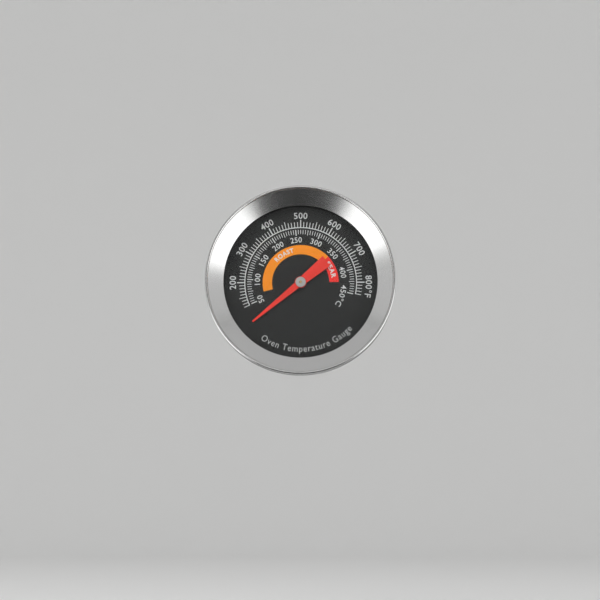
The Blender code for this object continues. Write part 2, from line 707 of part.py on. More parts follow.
def make_wing_nut(axis, mats):
    hub = [
        (0, 0),
        (NUT_HUB_RADIUS - 0.3, 0),
        (NUT_HUB_RADIUS, 0.3),
        (NUT_TOP_RADIUS, NUT_HEIGHT),
        (0, NUT_HEIGHT),
    ]
    nut = put(turned("wing_nut", hub, 36), axis, 0, mats["nut_steel"])
    low = Vector((NUT_HUB_RADIUS - WING_ROOT_ROUND, 0.5 + WING_ROOT_ROUND))
    high = Vector((WING_RADIUS - WING_TIP_ROUND, WING_TIP_HEIGHT))
    way = (high - low).normalized()
    spread = math.asin((WING_TIP_ROUND - WING_ROOT_ROUND) / (high - low).length)
    lean = math.atan2(way.y, way.x)
    ear = []
    for centre, radius, begin, end in (
        (high, WING_TIP_ROUND, lean - math.pi / 2 - spread, lean + math.pi / 2 + spread),
        (low, WING_ROOT_ROUND, lean + math.pi / 2 + spread, lean + 1.5 * math.pi - spread),
    ):
        for i in range(9):
            turn = begin + (end - begin) * i / 8
            ear.append((centre.x + radius * math.cos(turn), centre.y + radius * math.sin(turn)))
    wing = flat_outline("wing", [ear], WING_THICKNESS)
    put(wing, axis, 0, None, CUTTERS)
    # stand the ear up: its outline's y runs along the axis
    wing.rotation_euler = (math.pi / 2, 0, 0)
    bpy.context.view_layer.update()
    wing = curve_to_mesh(wing)
    CUTTERS.objects.link(wing)
    as_cutter(wing)
    bevel = wing.modifiers.new("round_edges", "BEVEL")
    bevel.width = 0.45 * MM
    bevel.segments = 2
    bevel.limit_method = "ANGLE"
    mirror = wing.modifiers.new("second_wing", "MIRROR")
    mirror.use_axis = (True, False, False)
    mirror.merge_threshold = 1e-6
    pilot = threaded_rod(
        "nut_thread", THREAD_ROOT_RADIUS + THREAD_FIT, THREAD_CREST_RADIUS + THREAD_FIT,
        NUT_FRONT - 1, NUT_FRONT + WING_TIP_HEIGHT + WING_TIP_ROUND + 1, THREAD_STEPS,
    )
    as_cutter(put(pilot, axis, -NUT_FRONT, None, CUTTERS))
    boolean(nut, wing, "UNION")
    boolean(nut, pilot, "DIFFERENCE")


def main():
    global PARTS, CUTTERS
    clear_scene()
    PARTS = new_collection("oven_thermometer")
    CUTTERS = new_collection("cutters")
    smooth_by_angle_group()
    mats = make_materials()

    stem_axis = axis_empty("stem_axis")
    make_case_pan(stem_axis, mats)
    make_bezel(stem_axis, mats)
    make_stack(stem_axis, mats)
    make_shank(stem_axis, mats)
    make_bearings(stem_axis, mats)
    make_stem(stem_axis, mats)
    make_coil(stem_axis, mats)

    pointer_axis = axis_empty("pointer_axis", stem_axis)
    pointer_axis.rotation_euler = (0, 0, math.radians(REST_ANGLE))
    make_pointer(pointer_axis, mats)

    washer_axis = axis_empty("washer_axis", stem_axis, WASHER_FRONT)
    make_washer(washer_axis, mats)
    nut_axis = axis_empty("nut_axis", stem_axis, NUT_FRONT)
    make_wing_nut(nut_axis, mats)

    for obj in PARTS.objects:
        if obj.type == "MESH":
            shade(obj)
    bpy.context.view_layer.update()


main()
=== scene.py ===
"""Oven lid thermometer: the detailed model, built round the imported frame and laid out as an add-on.

The stem runs along +Y and the dial faces -Y. Angles on the dial are clock angles: twelve
o'clock is +Z and three o'clock is +X. Outlines are (radius, station) in millimetres.
"""

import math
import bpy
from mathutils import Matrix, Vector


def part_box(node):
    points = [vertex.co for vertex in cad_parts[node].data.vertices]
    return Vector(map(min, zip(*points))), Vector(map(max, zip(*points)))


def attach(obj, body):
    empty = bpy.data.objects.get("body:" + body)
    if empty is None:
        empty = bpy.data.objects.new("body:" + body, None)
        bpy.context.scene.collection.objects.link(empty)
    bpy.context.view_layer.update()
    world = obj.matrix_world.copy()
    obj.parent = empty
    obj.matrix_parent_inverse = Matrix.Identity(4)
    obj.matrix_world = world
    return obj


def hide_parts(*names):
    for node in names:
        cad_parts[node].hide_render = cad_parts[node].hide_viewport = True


bl_info = {
    "name": "Oven Lid Thermometer",
    "version": (1, 0, 0),
    "blender": (4, 5, 0),
    "location": "3D View > Sidebar > Thermometer",
    "description": "Builds a dial thermometer with a dished bezel, printed scales and a threaded stem",
    "category": "Add Mesh",
}

import bmesh
import bpy
from bpy.props import FloatProperty, FloatVectorProperty, PointerProperty, StringProperty
from mathutils import Matrix, Vector

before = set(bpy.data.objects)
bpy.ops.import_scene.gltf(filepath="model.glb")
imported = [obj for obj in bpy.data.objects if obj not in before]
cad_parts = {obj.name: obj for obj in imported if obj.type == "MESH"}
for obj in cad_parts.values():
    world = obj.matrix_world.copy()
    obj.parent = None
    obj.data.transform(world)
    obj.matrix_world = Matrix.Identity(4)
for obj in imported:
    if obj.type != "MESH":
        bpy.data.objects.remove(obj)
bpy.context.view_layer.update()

MM = 0.001
RING_STEPS = 256     # steps round the case
SMALL_STEPS = 96     # steps round the small turned pieces
THREAD_CREST = 4.0
RIDGE_OFFSET = 0.67  # from the thread's start to the middle of the shank's ridge
RIDGE_SINK = 0.05    # how deep a ridge is let into what it is wound on
STEM_RADIUS = 3.0
SPINDLE_BORE = 0.45
CASE, NEEDLE, WASHER, NUT = "gauge_case", "pointer_group", "clamp_washer", "clamp_nut"


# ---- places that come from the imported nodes, in millimetres ----
def front(node):
    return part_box(node)[0].y / MM


def back(node):
    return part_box(node)[1].y / MM


def outer(node):
    return max(abs(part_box(node)[0].x), abs(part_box(node)[1].x)) / MM


def ends(node):
    return front(node), back(node)


def on_dial(radius, turn, station):
    """The point at a clock angle in radians, in metres."""
    return radius * math.sin(turn) * MM, station * MM, radius * math.cos(turn) * MM


def arc(middle, size, begin, finish, steps):
    """Points along an arc from one angle to another, in radians."""
    turns = (begin + (finish - begin) * k / steps for k in range(steps + 1))
    return [(middle[0] + size * math.cos(t), middle[1] + size * math.sin(t)) for t in turns]


# ---- settings that a user may change ----
def length(name, text, millimetres):
    return FloatProperty(
        name=name, description=text, default=millimetres * MM, unit="LENGTH", precision=5
    )


def angle(name, text, degrees):
    return FloatProperty(
        name=name, description=text, default=math.radians(degrees), unit="ROTATION"
    )


def share(name, text, value):
    return FloatProperty(name=name, description=text, default=value, min=0.0)


def colour(name, text, value):
    return FloatVectorProperty(
        name=name, description=text, default=value, subtype="COLOR", size=3, min=0.0, max=1.0
    )


class BezelSettings(bpy.types.PropertyGroup):
    sheet: length("Sheet", "Thickness of the bezel's steel", 0.42)
    face_width: length("Face Width", "Radial width of the dished face", 4.93)
    face_rise: length("Face Rise", "How far the face comes forward at its outer edge", 3.4)
    bead_radius: length("Bead Radius", "Outside radius of the rolled front edge", 0.48)
    wall: length("Wall", "Straight part of the side", 4.6)
    taper: length("Taper", "How much the side closes in towards the curl", 0.4)
    curl_radius: length("Curl Radius", "Outside radius of the curl at the back", 0.62)
    lip_round: length("Lip Round", "Rounding of the opening's edge", 0.18)
    steel: colour("Steel", "Colour of the satin steel", (0.66, 0.66, 0.655))
    roughness: share("Roughness", "How dull the satin steel is", 0.2)


class DialSettings(bpy.types.PropertyGroup):
    black: colour("Black", "Colour of the dial's paint", (0.0125, 0.0128, 0.0132))
    white: colour("White", "Colour of the scales", (0.72, 0.73, 0.73))
    grey: colour("Grey", "Colour of the caption", (0.58, 0.58, 0.58))
    orange: colour("Orange", "Colour of the lower heat band", (1.0, 0.3, 0.01))
    red: colour("Red", "Colour of the higher heat band", (0.93, 0.035, 0.03))
    ink: length("Ink", "Thickness of the print", 0.03)
    baseline: length("Baseline", "Radius of the line under the outer scale", 18.68)
    inner_ends: length("Inner Scale", "Outer ends of the inner scale's marks", 17.9)
    outer_numbers: length("Outer Numbers", "Middle radius of the outer numbers", 22.75)
    inner_numbers: length("Inner Numbers", "Middle radius of the inner numbers", 14.5)
    band_inner: length("Band Inside", "Inner radius of the heat bands", 9.57)
    band_outer: length("Band Outside", "Outer radius of the heat bands", 12.72)
    low_word: StringProperty(name="Low Word", description="Word on the lower band", default="ROAST")
    high_word: StringProperty(
        name="High Word", description="Word on the higher band", default="SEAR")
    caption: StringProperty(
        name="Caption", description="Words round the bottom", default="Oven Temperature Gauge"
    )


class PointerSettings(bpy.types.PropertyGroup):
    red: colour("Red", "Colour of the pointer's enamel", (0.86, 0.036, 0.022))
    rest: angle("Rest", "Clock angle of the pointer's tip at room heat", -129.6)
    tip: length("Tip", "Spindle to the tip", 20.8)
    tail: length("Tail", "Spindle to the end of the tail", 11.2)
    tip_width: length("Tip Width", "Width at the tip", 0.6)
    root_width: length("Root Width", "Width of the blade at the hub", 2.2)
    tail_root: length("Tail Root", "Width of the tail at the hub", 2.85)
    tail_width: length("Tail Width", "Width at the end of the tail", 4.2)
    hub: length("Hub", "Radius of the pointer round its hub", 1.95)
    slant: length("Slant", "How much the tail's end is out of square", 0.35)


class StemSettings(bpy.types.PropertyGroup):
    pitch: length("Pitch", "Pitch of the thread", 1.25)
    depth: length("Depth", "Depth of the thread", 0.767)
    thread_start: length("Thread Start", "Station where the thread begins", 0.8)
    thread_end: length("Thread End", "Station where the thread ends", 14.4)
    steel: colour("Steel", "Colour of the turned steel", (0.62, 0.61, 0.6))


class StageSettings(bpy.types.PropertyGroup):
    floor_colour: colour("Floor", "Colour of the floor and backdrop", (0.8, 0.8, 0.795))
    floor_drop: FloatProperty(
        name="Floor Drop", description="Stem axis to the floor", default=0.12, unit="LENGTH"
    )
    sky: share("Sky", "Brightness of the soft light all round", 0.58)
    side_cards: share("Side Cards", "Brightness of the two low side reflectors", 1.9)
    key_power: FloatProperty(
        name="Key Power", description="Power of the soft front light", default=12.0, unit="POWER"
    )
    distance: FloatProperty(
        name="Distance", description="Camera to the gauge", default=0.468, unit="LENGTH"
    )
    azimuth: angle("Azimuth", "Camera's angle to the right of the dial", 1.5)
    elevation: angle("Elevation", "Camera's angle above the dial", -8.7)
    drop: length("Drop", "How far below the gauge's middle the camera is aimed", 6.7)


class Millimetres:
    """Reads a settings group's lengths in millimetres."""

    def __init__(self, group):
        self.group = group

    def __getattr__(self, name):
        return getattr(self.group, name) / MM


# ---- node helpers ----
def fill(tree, node, values):
    """Sets a node's inputs, each given as a value or as a socket."""
    for key, value in values.items():
        if isinstance(value, bpy.types.NodeSocket):
            tree.links.new(value, node.inputs[key])
        else:
            node.inputs[key].default_value = value


def add(tree, kind, links=None, **settings):
    """A node with its properties and its inputs set."""
    node = tree.nodes.new(kind)
    for key, value in settings.items():
        setattr(node, key, value)
    fill(tree, node, links or {})
    return node


def math_node(tree, operation, a, b=0.0, c=None):
    links = {0: a, 1: b}
    if c is not None:
        links[2] = c
    return add(tree, "ShaderNodeMath", links, operation=operation).outputs[0]


def times(tree, a, b):
    return math_node(tree, "MULTIPLY", a, b)


def plus(tree, a, b):
    return math_node(tree, "ADD", a, b)


def minus(tree, a, b):
    return math_node(tree, "SUBTRACT", a, b)


def combined(tree, **parts):
    """A vector of its x, y and z."""
    return add(tree, "ShaderNodeCombineXYZ",
               {"XYZ".index(key.upper()): value for key, value in parts.items()}).outputs[0]


def object_place(tree):
    return add(tree, "ShaderNodeTexCoord").outputs["Object"]


def noise(tree, place, scale, detail, **more):
    return add(tree, "ShaderNodeTexNoise",
               {"Vector": place, "Scale": scale, "Detail": detail, **more}).outputs[0]


def ramp(tree, value, low, high):
    """0 at low and 1 at high."""
    return add(tree, "ShaderNodeMapRange", {0: value, 1: low, 2: high}).outputs[0]


def new_group(name, kind, inputs, outputs):
    """A node group with its named sockets, and its input and output nodes."""
    group = bpy.data.node_groups.new(name, kind)
    for label, socket_type, default in inputs:
        socket = group.interface.new_socket(label, in_out="INPUT", socket_type=socket_type)
        if default is not None:
            socket.default_value = default
    for label, socket_type in outputs:
        group.interface.new_socket(label, in_out="OUTPUT", socket_type=socket_type)
    start = group.nodes.new("NodeGroupInput")
    end = group.nodes.new("NodeGroupOutput")
    return group, start, end


FLOAT, VALUE_INT, GEOMETRY, SURFACE = (
    "NodeSocketFloat", "NodeSocketInt", "NodeSocketGeometry", "NodeSocketMaterial"
)


def shader_group(name, inputs, outputs):
    return new_group(
        name, "ShaderNodeTree", [(label, FLOAT, value) for label, value in inputs],
        [(label, FLOAT) for label in outputs],
    )


# ---- effects that several finishes share ----
def make_grain_group():
    """Fine even grain of a satin surface, with a slower unevenness under it."""
    group, start, end = shader_group(
        "satin_grain", [("Scale", 2600.0), ("Patch Scale", 160.0)], ["Height", "Patches"]
    )
    place = object_place(group)
    fill(group, end, {
        "Height": noise(group, place, start.outputs[0], 3.0, Roughness=0.65),
        "Patches": noise(group, place, start.outputs[1], 2.0, Roughness=0.5)})
    return group


def make_turned_group():
    """Fine rings left by a lathe round the stem's axis, broken up a little along each turn."""
    group, start, end = shader_group(
        "turned_marks", [("Rings", 5200.0), ("Breaks", 3.0)], ["Height"]
    )
    rings, breaks = start.outputs["Rings"], start.outputs["Breaks"]
    x, y, z = add(group, "ShaderNodeSeparateXYZ", {0: object_place(group)}).outputs
    across = math_node(group, "SQRT", plus(group, times(group, x, x), times(group, z, z)))
    turn = math_node(group, "ARCTAN2", x, z)
    place = combined(group, x=times(group, across, rings), y=times(group, y, rings),
                     z=times(group, math_node(group, "SINE", turn), breaks))
    fill(group, end, {"Height": noise(group, place, 1.0, 3.0, Roughness=0.6)})
    return group


def make_handling_group():
    """Where hands and cloths have dulled a surface, and the dust that lies on what faces up."""
    group, start, end = shader_group(
        "handling", [("Smudge Scale", 90.0), ("Dust", 0.4)], ["Smudge", "Dust"]
    )
    place = object_place(group)
    cloud = noise(group, place, start.outputs[0], 5.0, Roughness=0.62, Distortion=0.8)
    speck = ramp(group, noise(group, place, 1900.0, 4.0), 0.5, 0.72)
    normal = add(group, "ShaderNodeNewGeometry").outputs["Normal"]
    up = add(group, "ShaderNodeSeparateXYZ", {0: normal}).outputs[2]
    lying = ramp(group, up, 0.35, 1.0)
    fill(group, end, {
        "Smudge": ramp(group, cloud, 0.42, 0.66),
        "Dust": times(group, times(group, lying, speck), start.outputs["Dust"])})
    return group


def make_wear_group():
    """Where edges stand proud, from the shape of the surface: they are rubbed brighter by wear, and
    the same brightening is painted light that sets the proud edges off from the hollows in place of
    shade.
    """
    group, start, end = shader_group("edge_wear_and_painted_light", [("Low", 0.515), ("High", 0.6)], ["Wear And Painted Light"])
    shape = add(group, "ShaderNodeNewGeometry").outputs["Pointiness"]
    breakup = noise(group, object_place(group), 700.0, 3.0)
    edge = ramp(group, shape, start.outputs["Low"], start.outputs["High"])
    fill(group, end, {"Wear And Painted Light": times(group, edge, plus(group, breakup, 0.35))})
    return group


GROUP_MAKERS = {
    "satin_grain": make_grain_group,
    "turned_marks": make_turned_group,
    "handling": make_handling_group,
    "edge_wear_and_painted_light": make_wear_group,
}


def effect(tree, name, **values):
    """Places a shared effect in a material, made the first time that it is asked for."""
    group = bpy.data.node_groups.get(name) or GROUP_MAKERS[name]()
    node = add(tree, "ShaderNodeGroup", node_tree=group)
    for key, value in values.items():
        node.inputs[key.replace("_", " ").title()].default_value = value
    return node.outputs


def new_material(name):
    mat = bpy.data.materials.new(name)
    mat.use_nodes = True
    return mat, mat.node_tree, mat.node_tree.nodes["Principled BSDF"]


def blend(tree, factor, *tones):
    """A colour between two, by a mask. Each is a socket or (red, green, blue)."""
    first, second = (
        tone if isinstance(tone, bpy.types.NodeSocket) else (*tone, 1) for tone in tones)
    return add(tree, "ShaderNodeMix", {"Factor": factor, 6: first, 7: second},
               data_type="RGBA").outputs[2]


def bump(tree, height):
    """A normal from a height in micrometres."""
    return add(tree, "ShaderNodeBump",
               {"Height": height, "Strength": 1.0, "Distance": 1e-6}).outputs[0]


def darker(value, factor):
    return tuple(channel * factor for channel in value)


def shift(tree, base, *parts):
    """base plus each (mask, amount)."""
    total = base
    for mask, amount in parts:
        total = math_node(tree, "MULTIPLY_ADD", mask, amount, total)
    return total


def metal(name, base, roughness, grain=0.0, turned=0.0, rings=5200.0, grain_scale=2600.0,
          wear_and_painted_light=0.0, smudge=0.05, dust=0.3, stain=0.9):
    """A steel or brass finish. grain and turned are the depths of those marks in micrometres."""
    mat, tree, shader = new_material(name)
    grains = effect(tree, "satin_grain", scale=grain_scale)
    marks = effect(tree, "turned_marks", rings=rings)
    hands = effect(tree, "handling", dust=dust)
    edges = effect(tree, "edge_wear_and_painted_light")
    tone = blend(tree, grains["Patches"], base, darker(base, stain))
    # proud edges are painted up to 12% brighter: partly rubbed wear, partly a painted highlight that
    # stands in for the shade contrast between edges and hollows
    tone = blend(tree, times(tree, edges["Wear And Painted Light"], wear_and_painted_light), tone, darker(base, 1.12))
    fill(tree, shader, {
        "Base Color": blend(tree, hands["Dust"], tone, (0.55, 0.53, 0.5)), "Metallic": 1.0,
        "Roughness": shift(tree, roughness, (hands["Smudge"], smudge),
                           (grains["Height"], 0.06), (hands["Dust"], 0.35)),
        "Normal": bump(tree, plus(tree, times(tree, grains["Height"], grain),
                                  times(tree, marks["Height"], turned)))})
    return mat


def paint(name, base, roughness, peel=1.0, mottle=0.85, scale=1500.0, shine=0.5):
    """Paint, ink, enamel, rubber or moulded plastic. peel is its texture's depth in micrometres."""
    mat, tree, shader = new_material(name)
    grains = effect(tree, "satin_grain", scale=scale, patch_scale=420.0)
    hands = effect(tree, "handling", dust=0.0)
    tone = blend(tree, grains["Patches"], base, darker(base, mottle))
    fill(tree, shader, {
        "Base Color": blend(tree, hands["Dust"], tone, (0.4, 0.39, 0.37)),
        "Roughness": shift(tree, roughness, (grains["Height"], 0.08), (hands["Smudge"], 0.05)),
        "Specular IOR Level": shine, "Coat Weight": 0.0, "Coat Roughness": 0.12,
        "Normal": bump(tree, times(tree, grains["Height"], peel))})
    return mat


def print_paint(name, base, mottle=0.9):
    return paint(name, tuple(base), 0.6, peel=0.6, mottle=mottle, shine=0.3)


def window_glass():
    """Clear glass that lets lamps through, with a trace of film on it."""
    mat, tree, shader = new_material("clear_window")
    film = effect(tree, "handling", smudge_scale=60.0)
    fill(tree, shader, {
        "Base Color": (0.97, 0.98, 0.975, 1), "Transmission Weight": 1.0, "IOR": 1.45,
        "Specular IOR Level": 0.22, "Roughness": times(tree, film["Smudge"], 0.012)})
    clear = add(tree, "ShaderNodeBsdfTransparent", {"Color": (0.95, 0.96, 0.955, 1)})
    lamp = add(tree, "ShaderNodeLightPath").outputs["Is Shadow Ray"]
    mixed = add(tree, "ShaderNodeMixShader", {0: lamp, 1: shader.outputs[0], 2: clear.outputs[0]})
    fill(tree, tree.nodes["Material Output"], {"Surface": mixed.outputs[0]})
    return mat


# ---- mesh helpers: everything is written in millimetres and stored in metres ----
def rounded(corners, closed=True, steps=6, support=0.04):
    """Rounds the corners of an outline. Each corner is (radius, station) or (radius, station,
    round). Short straight runs beside each arc keep the wide faces flat when shaded."""
    count = len(corners)
    made = []
    for i, corner in enumerate(corners):
        here = Vector(corner[:2])
        bend = corner[2] if len(corner) > 2 else 0.0
        if not bend or (not closed and i in (0, count - 1)):
            made.append([here])
            continue
        to_last = Vector(corners[i - 1][:2]) - here
        to_next = Vector(corners[(i + 1) % count][:2]) - here
        inside = to_last.angle(to_next)
        reach = bend / math.tan(inside / 2)
        limit = 0.48 * min(to_last.length, to_next.length)
        if reach > limit:
            bend, reach = bend * limit / reach, limit
        start = here + to_last.normalized() * reach
        middle = here + (to_last.normalized() + to_next.normalized()).normalized() * (
            bend / math.sin(inside / 2)
        )
        first = start - middle
        side = 1.0 if to_last.cross(to_next) < 0 else -1.0
        sweep = (math.pi - inside) * side
        made.append([
            middle + Matrix.Rotation(sweep * k / steps, 2) @ first for k in range(steps + 1)
        ])
    outline = []
    for i, arc in enumerate(made):
        outline += arc
        if i + 1 == count and not closed:
            break
        after = made[(i + 1) % count][0]
        run = after - arc[-1]
        if run.length > 5 * support:
            step = run.normalized() * support
            outline += [arc[-1] + step, after - step]
    return [(p.x, p.y) for p in outline]


def sheet_outline(path, thickness):
    """The two faces of a sheet's section, from an open path along one of its faces: the path and its
    offset. The sheet lies on the left of the path."""
    points = [Vector(p) for p in path]
    lefts = []
    for i, here in enumerate(points):
        before = (here - points[i - 1]).normalized() if i else None
        after = (points[i + 1] - here).normalized() if i + 1 < len(points) else before
        before = before or after
        left_a, left_b = Vector((-before.y, before.x)), Vector((-after.y, after.x))
        middle = (left_a + left_b).normalized()
        lefts.append(here + middle * (thickness / middle.dot(left_a)))
    return points, lefts


def new_object(name, data):
    """An object that holds this data, in the scene."""
    obj = bpy.data.objects.new(name, data)
    bpy.context.scene.collection.objects.link(obj)
    return obj


def finish_mesh(name, bm, sharp=32.0):
    """Turns a closed bmesh into an object whose faces point outwards and shade smoothly."""
    bmesh.ops.remove_doubles(bm, verts=bm.verts, dist=1e-8)
    bmesh.ops.recalc_face_normals(bm, faces=bm.faces)
    mesh = bpy.data.meshes.new(name)
    bm.to_mesh(mesh)
    bm.free()
    mesh.shade_smooth()
    mesh.set_sharp_from_angle(angle=math.radians(sharp))
    return new_object(name, mesh)


def add_turned(bm, outline, steps=RING_STEPS, upright=False):
    """Adds a solid of revolution about the stem's axis, or about Z for the stage."""
    rings = []
    for r, y in outline:
        if abs(r) < 1e-9:
            place = (0, 0, y * MM) if upright else (0, y * MM, 0)
            rings.append([bm.verts.new(place)])
            continue
        ring = []
        for k in range(steps):
            turn = 2 * math.pi * k / steps
            a, b = r * math.sin(turn) * MM, r * math.cos(turn) * MM
            ring.append(bm.verts.new((a, b, y * MM) if upright else (a, y * MM, b)))
        rings.append(ring)
    open_ends = len(rings[0]) == 1 or len(rings[-1]) == 1
    pairs = list(zip(rings, rings[1:]))
    if not open_ends:
        pairs.append((rings[-1], rings[0]))
    for one, two in pairs:
        for k in range(steps):
            n = (k + 1) % steps
            if len(one) == 1 and len(two) == 1:
                break
            if len(one) == 1:
                bm.faces.new((one[0], two[k], two[n]))
            elif len(two) == 1:
                bm.faces.new((one[k], two[0], one[n]))
            else:
                bm.faces.new((one[k], two[k], two[n], one[n]))


def turned(name, outline, steps=RING_STEPS, sharp=32.0):
    bm = bmesh.new()
    add_turned(bm, outline, steps)
    return finish_mesh(name, bm, sharp)


def tube(inner, outside, first, last, edge=0.08):
    """The rounded section of a plain ring between two stations."""
    return rounded([(inner, first, edge), (outside, first, edge), (outside, last, edge),
                    (inner, last, edge)], steps=4)


def evaluated(obj, name=None):
    """The plain mesh of an object's evaluated shape. The object itself is removed."""
    bpy.context.view_layer.update()
    graph = bpy.context.evaluated_depsgraph_get()
    mesh = bpy.data.meshes.new_from_object(obj.evaluated_get(graph))
    mesh.name = name or obj.name
    bpy.data.objects.remove(obj, do_unlink=True)
    return mesh


def bm_of(mesh):
    bm = bmesh.new()
    bm.from_mesh(mesh)
    return bm


def give(obj, material, body, replaced=()):
    """Gives a finished piece its material, its body and the nodes it stands for."""
    obj.data.materials.clear()
    obj.data.materials.append(material)
    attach(obj, body)
    if replaced:
        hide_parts(*replaced)
    return obj


# ---- Geometry Nodes: what repeats or winds ----
def node_modifier(obj, tree, **values):
    """Puts a tree on an object and sets its inputs by their identifiers."""
    modifier = obj.modifiers.new(tree.name, "NODES")
    modifier.node_group = tree
    sockets = {
        item.name: item.identifier for item in tree.interface.items_tree
        if item.item_type == "SOCKET" and item.in_out == "INPUT"
    }
    for key, value in values.items():
        modifier[sockets[key.replace("_", " ").title()]] = value


def tree_piece(name, tree, material, **values):
    """A piece made by a tree alone, as a plain mesh."""
    holder = new_object(name + "_tree", bpy.data.meshes.new(name))
    node_modifier(holder, tree, material=material, **values)
    return finish_mesh(name, bm_of(evaluated(holder, name)))


def thread_ridge(name, material, s, radius, station, turns, fade, side=1):
    """The thread's ridge, wound outwards from a round face, or inwards where side is -1."""
    return tree_piece(
        name, tree_named("helix"), material, steps=SMALL_STEPS,
        radius=(radius - side * RIDGE_SINK) * MM, pitch=s.pitch * MM, turns=turns,
        depth=side * (s.depth + RIDGE_SINK) * MM, inside_width=(s.pitch * 0.75 + 0.08) * MM,
        outside_width=s.pitch / 8 * MM, station=station * MM, start_angle=0.0, fade_turns=fade)


def new_tree(name, counts, lengths):
    """A tree with these inputs, all its sockets, and its output node."""
    tree, start, end = new_group(
        name, "GeometryNodeTree",
        [("Geometry", GEOMETRY, None)] + [(label, VALUE_INT, value) for label, value in counts]
        + [(label, FLOAT, 0.001) for label in lengths] + [("Material", SURFACE, None)],
        [("Geometry", GEOMETRY)],
    )
    return tree, start.outputs, end


def finish_tree(tree, geometry, material, end):
    real = add(tree, "GeometryNodeRealizeInstances", {0: geometry})
    coated = add(tree, "GeometryNodeSetMaterial", {0: real.outputs[0], "Material": material})
    fill(tree, end, {0: coated.outputs[0]})
    return tree


def make_marks_tree():
    """Scale marks: one bar per division, longer at every fifth and tenth."""
    tree, socket, end = new_tree(
        "scale_marks", [("Count", 10), ("Offset", 0)],
        ["First Angle", "Step", "Start Radius", "Short", "Middle", "Long", "Width",
         "Long Width", "Station", "Thickness"])
    index = add(tree, "GeometryNodeInputIndex").outputs[0]
    number = plus(tree, index, socket["Offset"])

    def multiple(of):
        return math_node(tree, "LESS_THAN", math_node(tree, "FLOORED_MODULO", number, of), 0.5)

    def pick(low, high, factor):
        return math_node(tree, "MULTIPLY_ADD", minus(tree, high, low), factor, low)

    fifth, tenth = multiple(5.0), multiple(10.0)
    reach = pick(pick(socket["Short"], socket["Middle"], fifth), socket["Long"], tenth)
    wide = pick(socket["Width"], socket["Long Width"], tenth)
    turn = math_node(tree, "MULTIPLY_ADD", index, socket["Step"], socket["First Angle"])
    radius = math_node(tree, "MULTIPLY_ADD", reach, 0.5, socket["Start Radius"])
    place = combined(
        tree, x=times(tree, math_node(tree, "SINE", turn), radius), y=socket["Station"],
        z=times(tree, math_node(tree, "COSINE", turn), radius))
    points = add(tree, "GeometryNodePoints", {"Count": socket["Count"], "Position": place})
    bar = add(tree, "GeometryNodeMeshCube", {"Size": (1, 1, 1)})
    scale = combined(tree, x=wide, y=socket["Thickness"], z=math_node(tree, "ABSOLUTE", reach))
    bars = add(tree, "GeometryNodeInstanceOnPoints", {
        "Points": points.outputs[0], "Instance": bar.outputs[0],
        "Rotation": combined(tree, y=turn), "Scale": scale})
    return finish_tree(tree, bars.outputs[0], socket["Material"], end)


def make_helix_tree():
    """A ridge or strip wound round the stem's axis: its section is a four-sided profile whose
    two heights are its widths at the inside and at the outside."""
    tree, socket, end = new_tree(
        "helix", [("Steps", 96)],
        ["Radius", "Pitch", "Turns", "Depth", "Inside Width", "Outside Width", "Station",
         "Start Angle", "Fade Turns"])
    count = plus(tree, times(tree, socket["Steps"], socket["Turns"]), 1.0)
    # a flat grid of four columns, wound into the helix: x runs along it and y round its section
    grid = add(tree, "GeometryNodeMeshGrid", {"Size X": 1.0, "Size Y": 1.0, "Vertices X": count,
                                              "Vertices Y": 5})
    place = add(tree, "ShaderNodeSeparateXYZ",
                {0: add(tree, "GeometryNodeInputPosition").outputs[0]}).outputs
    along = plus(tree, place[0], 0.5)
    column = math_node(tree, "MULTIPLY_ADD", place[1], 4.0, 2.0)

    def at(*wanted):
        """One where the column is one of these."""
        total = 0.0
        for value in wanted:
            total = plus(tree, total, math_node(tree, "COMPARE", column, float(value), 0.25))
        return total

    outside = at(1, 2)
    high = minus(tree, times(tree, at(2, 3), 2.0), 1.0)
    done = times(tree, along, socket["Turns"])
    left = minus(tree, socket["Turns"], done)
    fade = math_node(tree, "DIVIDE", math_node(tree, "MINIMUM", done, left),
                     socket["Fade Turns"])
    fade = math_node(tree, "MINIMUM", fade, 1.0)
    widening = minus(tree, socket["Outside Width"], socket["Inside Width"])
    width = plus(tree, socket["Inside Width"], times(tree, outside, widening))
    width = times(tree, width, fade)
    radius = plus(tree, socket["Radius"],
                  times(tree, times(tree, outside, socket["Depth"]), fade))
    turn = math_node(tree, "MULTIPLY_ADD", done, 2 * math.pi, socket["Start Angle"])
    station = math_node(tree, "MULTIPLY_ADD", done, socket["Pitch"], socket["Station"])
    station = plus(tree, station, times(tree, times(tree, width, 0.5), high))
    wound = combined(
        tree, x=times(tree, math_node(tree, "COSINE", turn), radius), y=station,
        z=times(tree, times(tree, math_node(tree, "SINE", turn), radius), -1.0))
    moved = add(tree, "GeometryNodeSetPosition", {0: grid.outputs[0], "Position": wound})
    return finish_tree(tree, moved.outputs[0], socket["Material"], end)


TREE_MAKERS = {"scale_marks": make_marks_tree, "helix": make_helix_tree}


def tree_named(name):
    return bpy.data.node_groups.get(name) or TREE_MAKERS[name]()


# ---- print on the dial ----
def sector(bm, inner, outside, start, end, station, thickness):
    """Adds a flat piece of a ring between two clock angles, in degrees."""
    steps = max(int(abs(end - start)), 2)
    columns = []
    for k in range(steps + 1):
        turn = math.radians(start + (end - start) * k / steps)
        columns.append([
            bm.verts.new(on_dial(r, turn, y))
            for r, y in ((inner, station), (outside, station), (outside, station - thickness),
                         (inner, station - thickness))
        ])
    for one, two in zip(columns, columns[1:]):
        for k in range(4):
            bm.faces.new((one[k], one[(k + 1) % 4], two[(k + 1) % 4], two[k]))
    bm.faces.new(columns[0])
    bm.faces.new(columns[-1][::-1])


def flat_words(words, weight, spacing):
    """Words as a flat mesh, one unit thick."""
    curve = bpy.data.curves.new("words", "FONT")
    curve.body = words
    curve.offset = weight
    curve.space_character = spacing
    curve.resolution_u = 3
    curve.extrude = 0.5
    return evaluated(new_object("words", curve))


def capital_height():
    mesh = flat_words("H", 0.0, 1.0)
    tall = max(v.co.y for v in mesh.vertices)
    bpy.data.meshes.remove(mesh)
    return tall


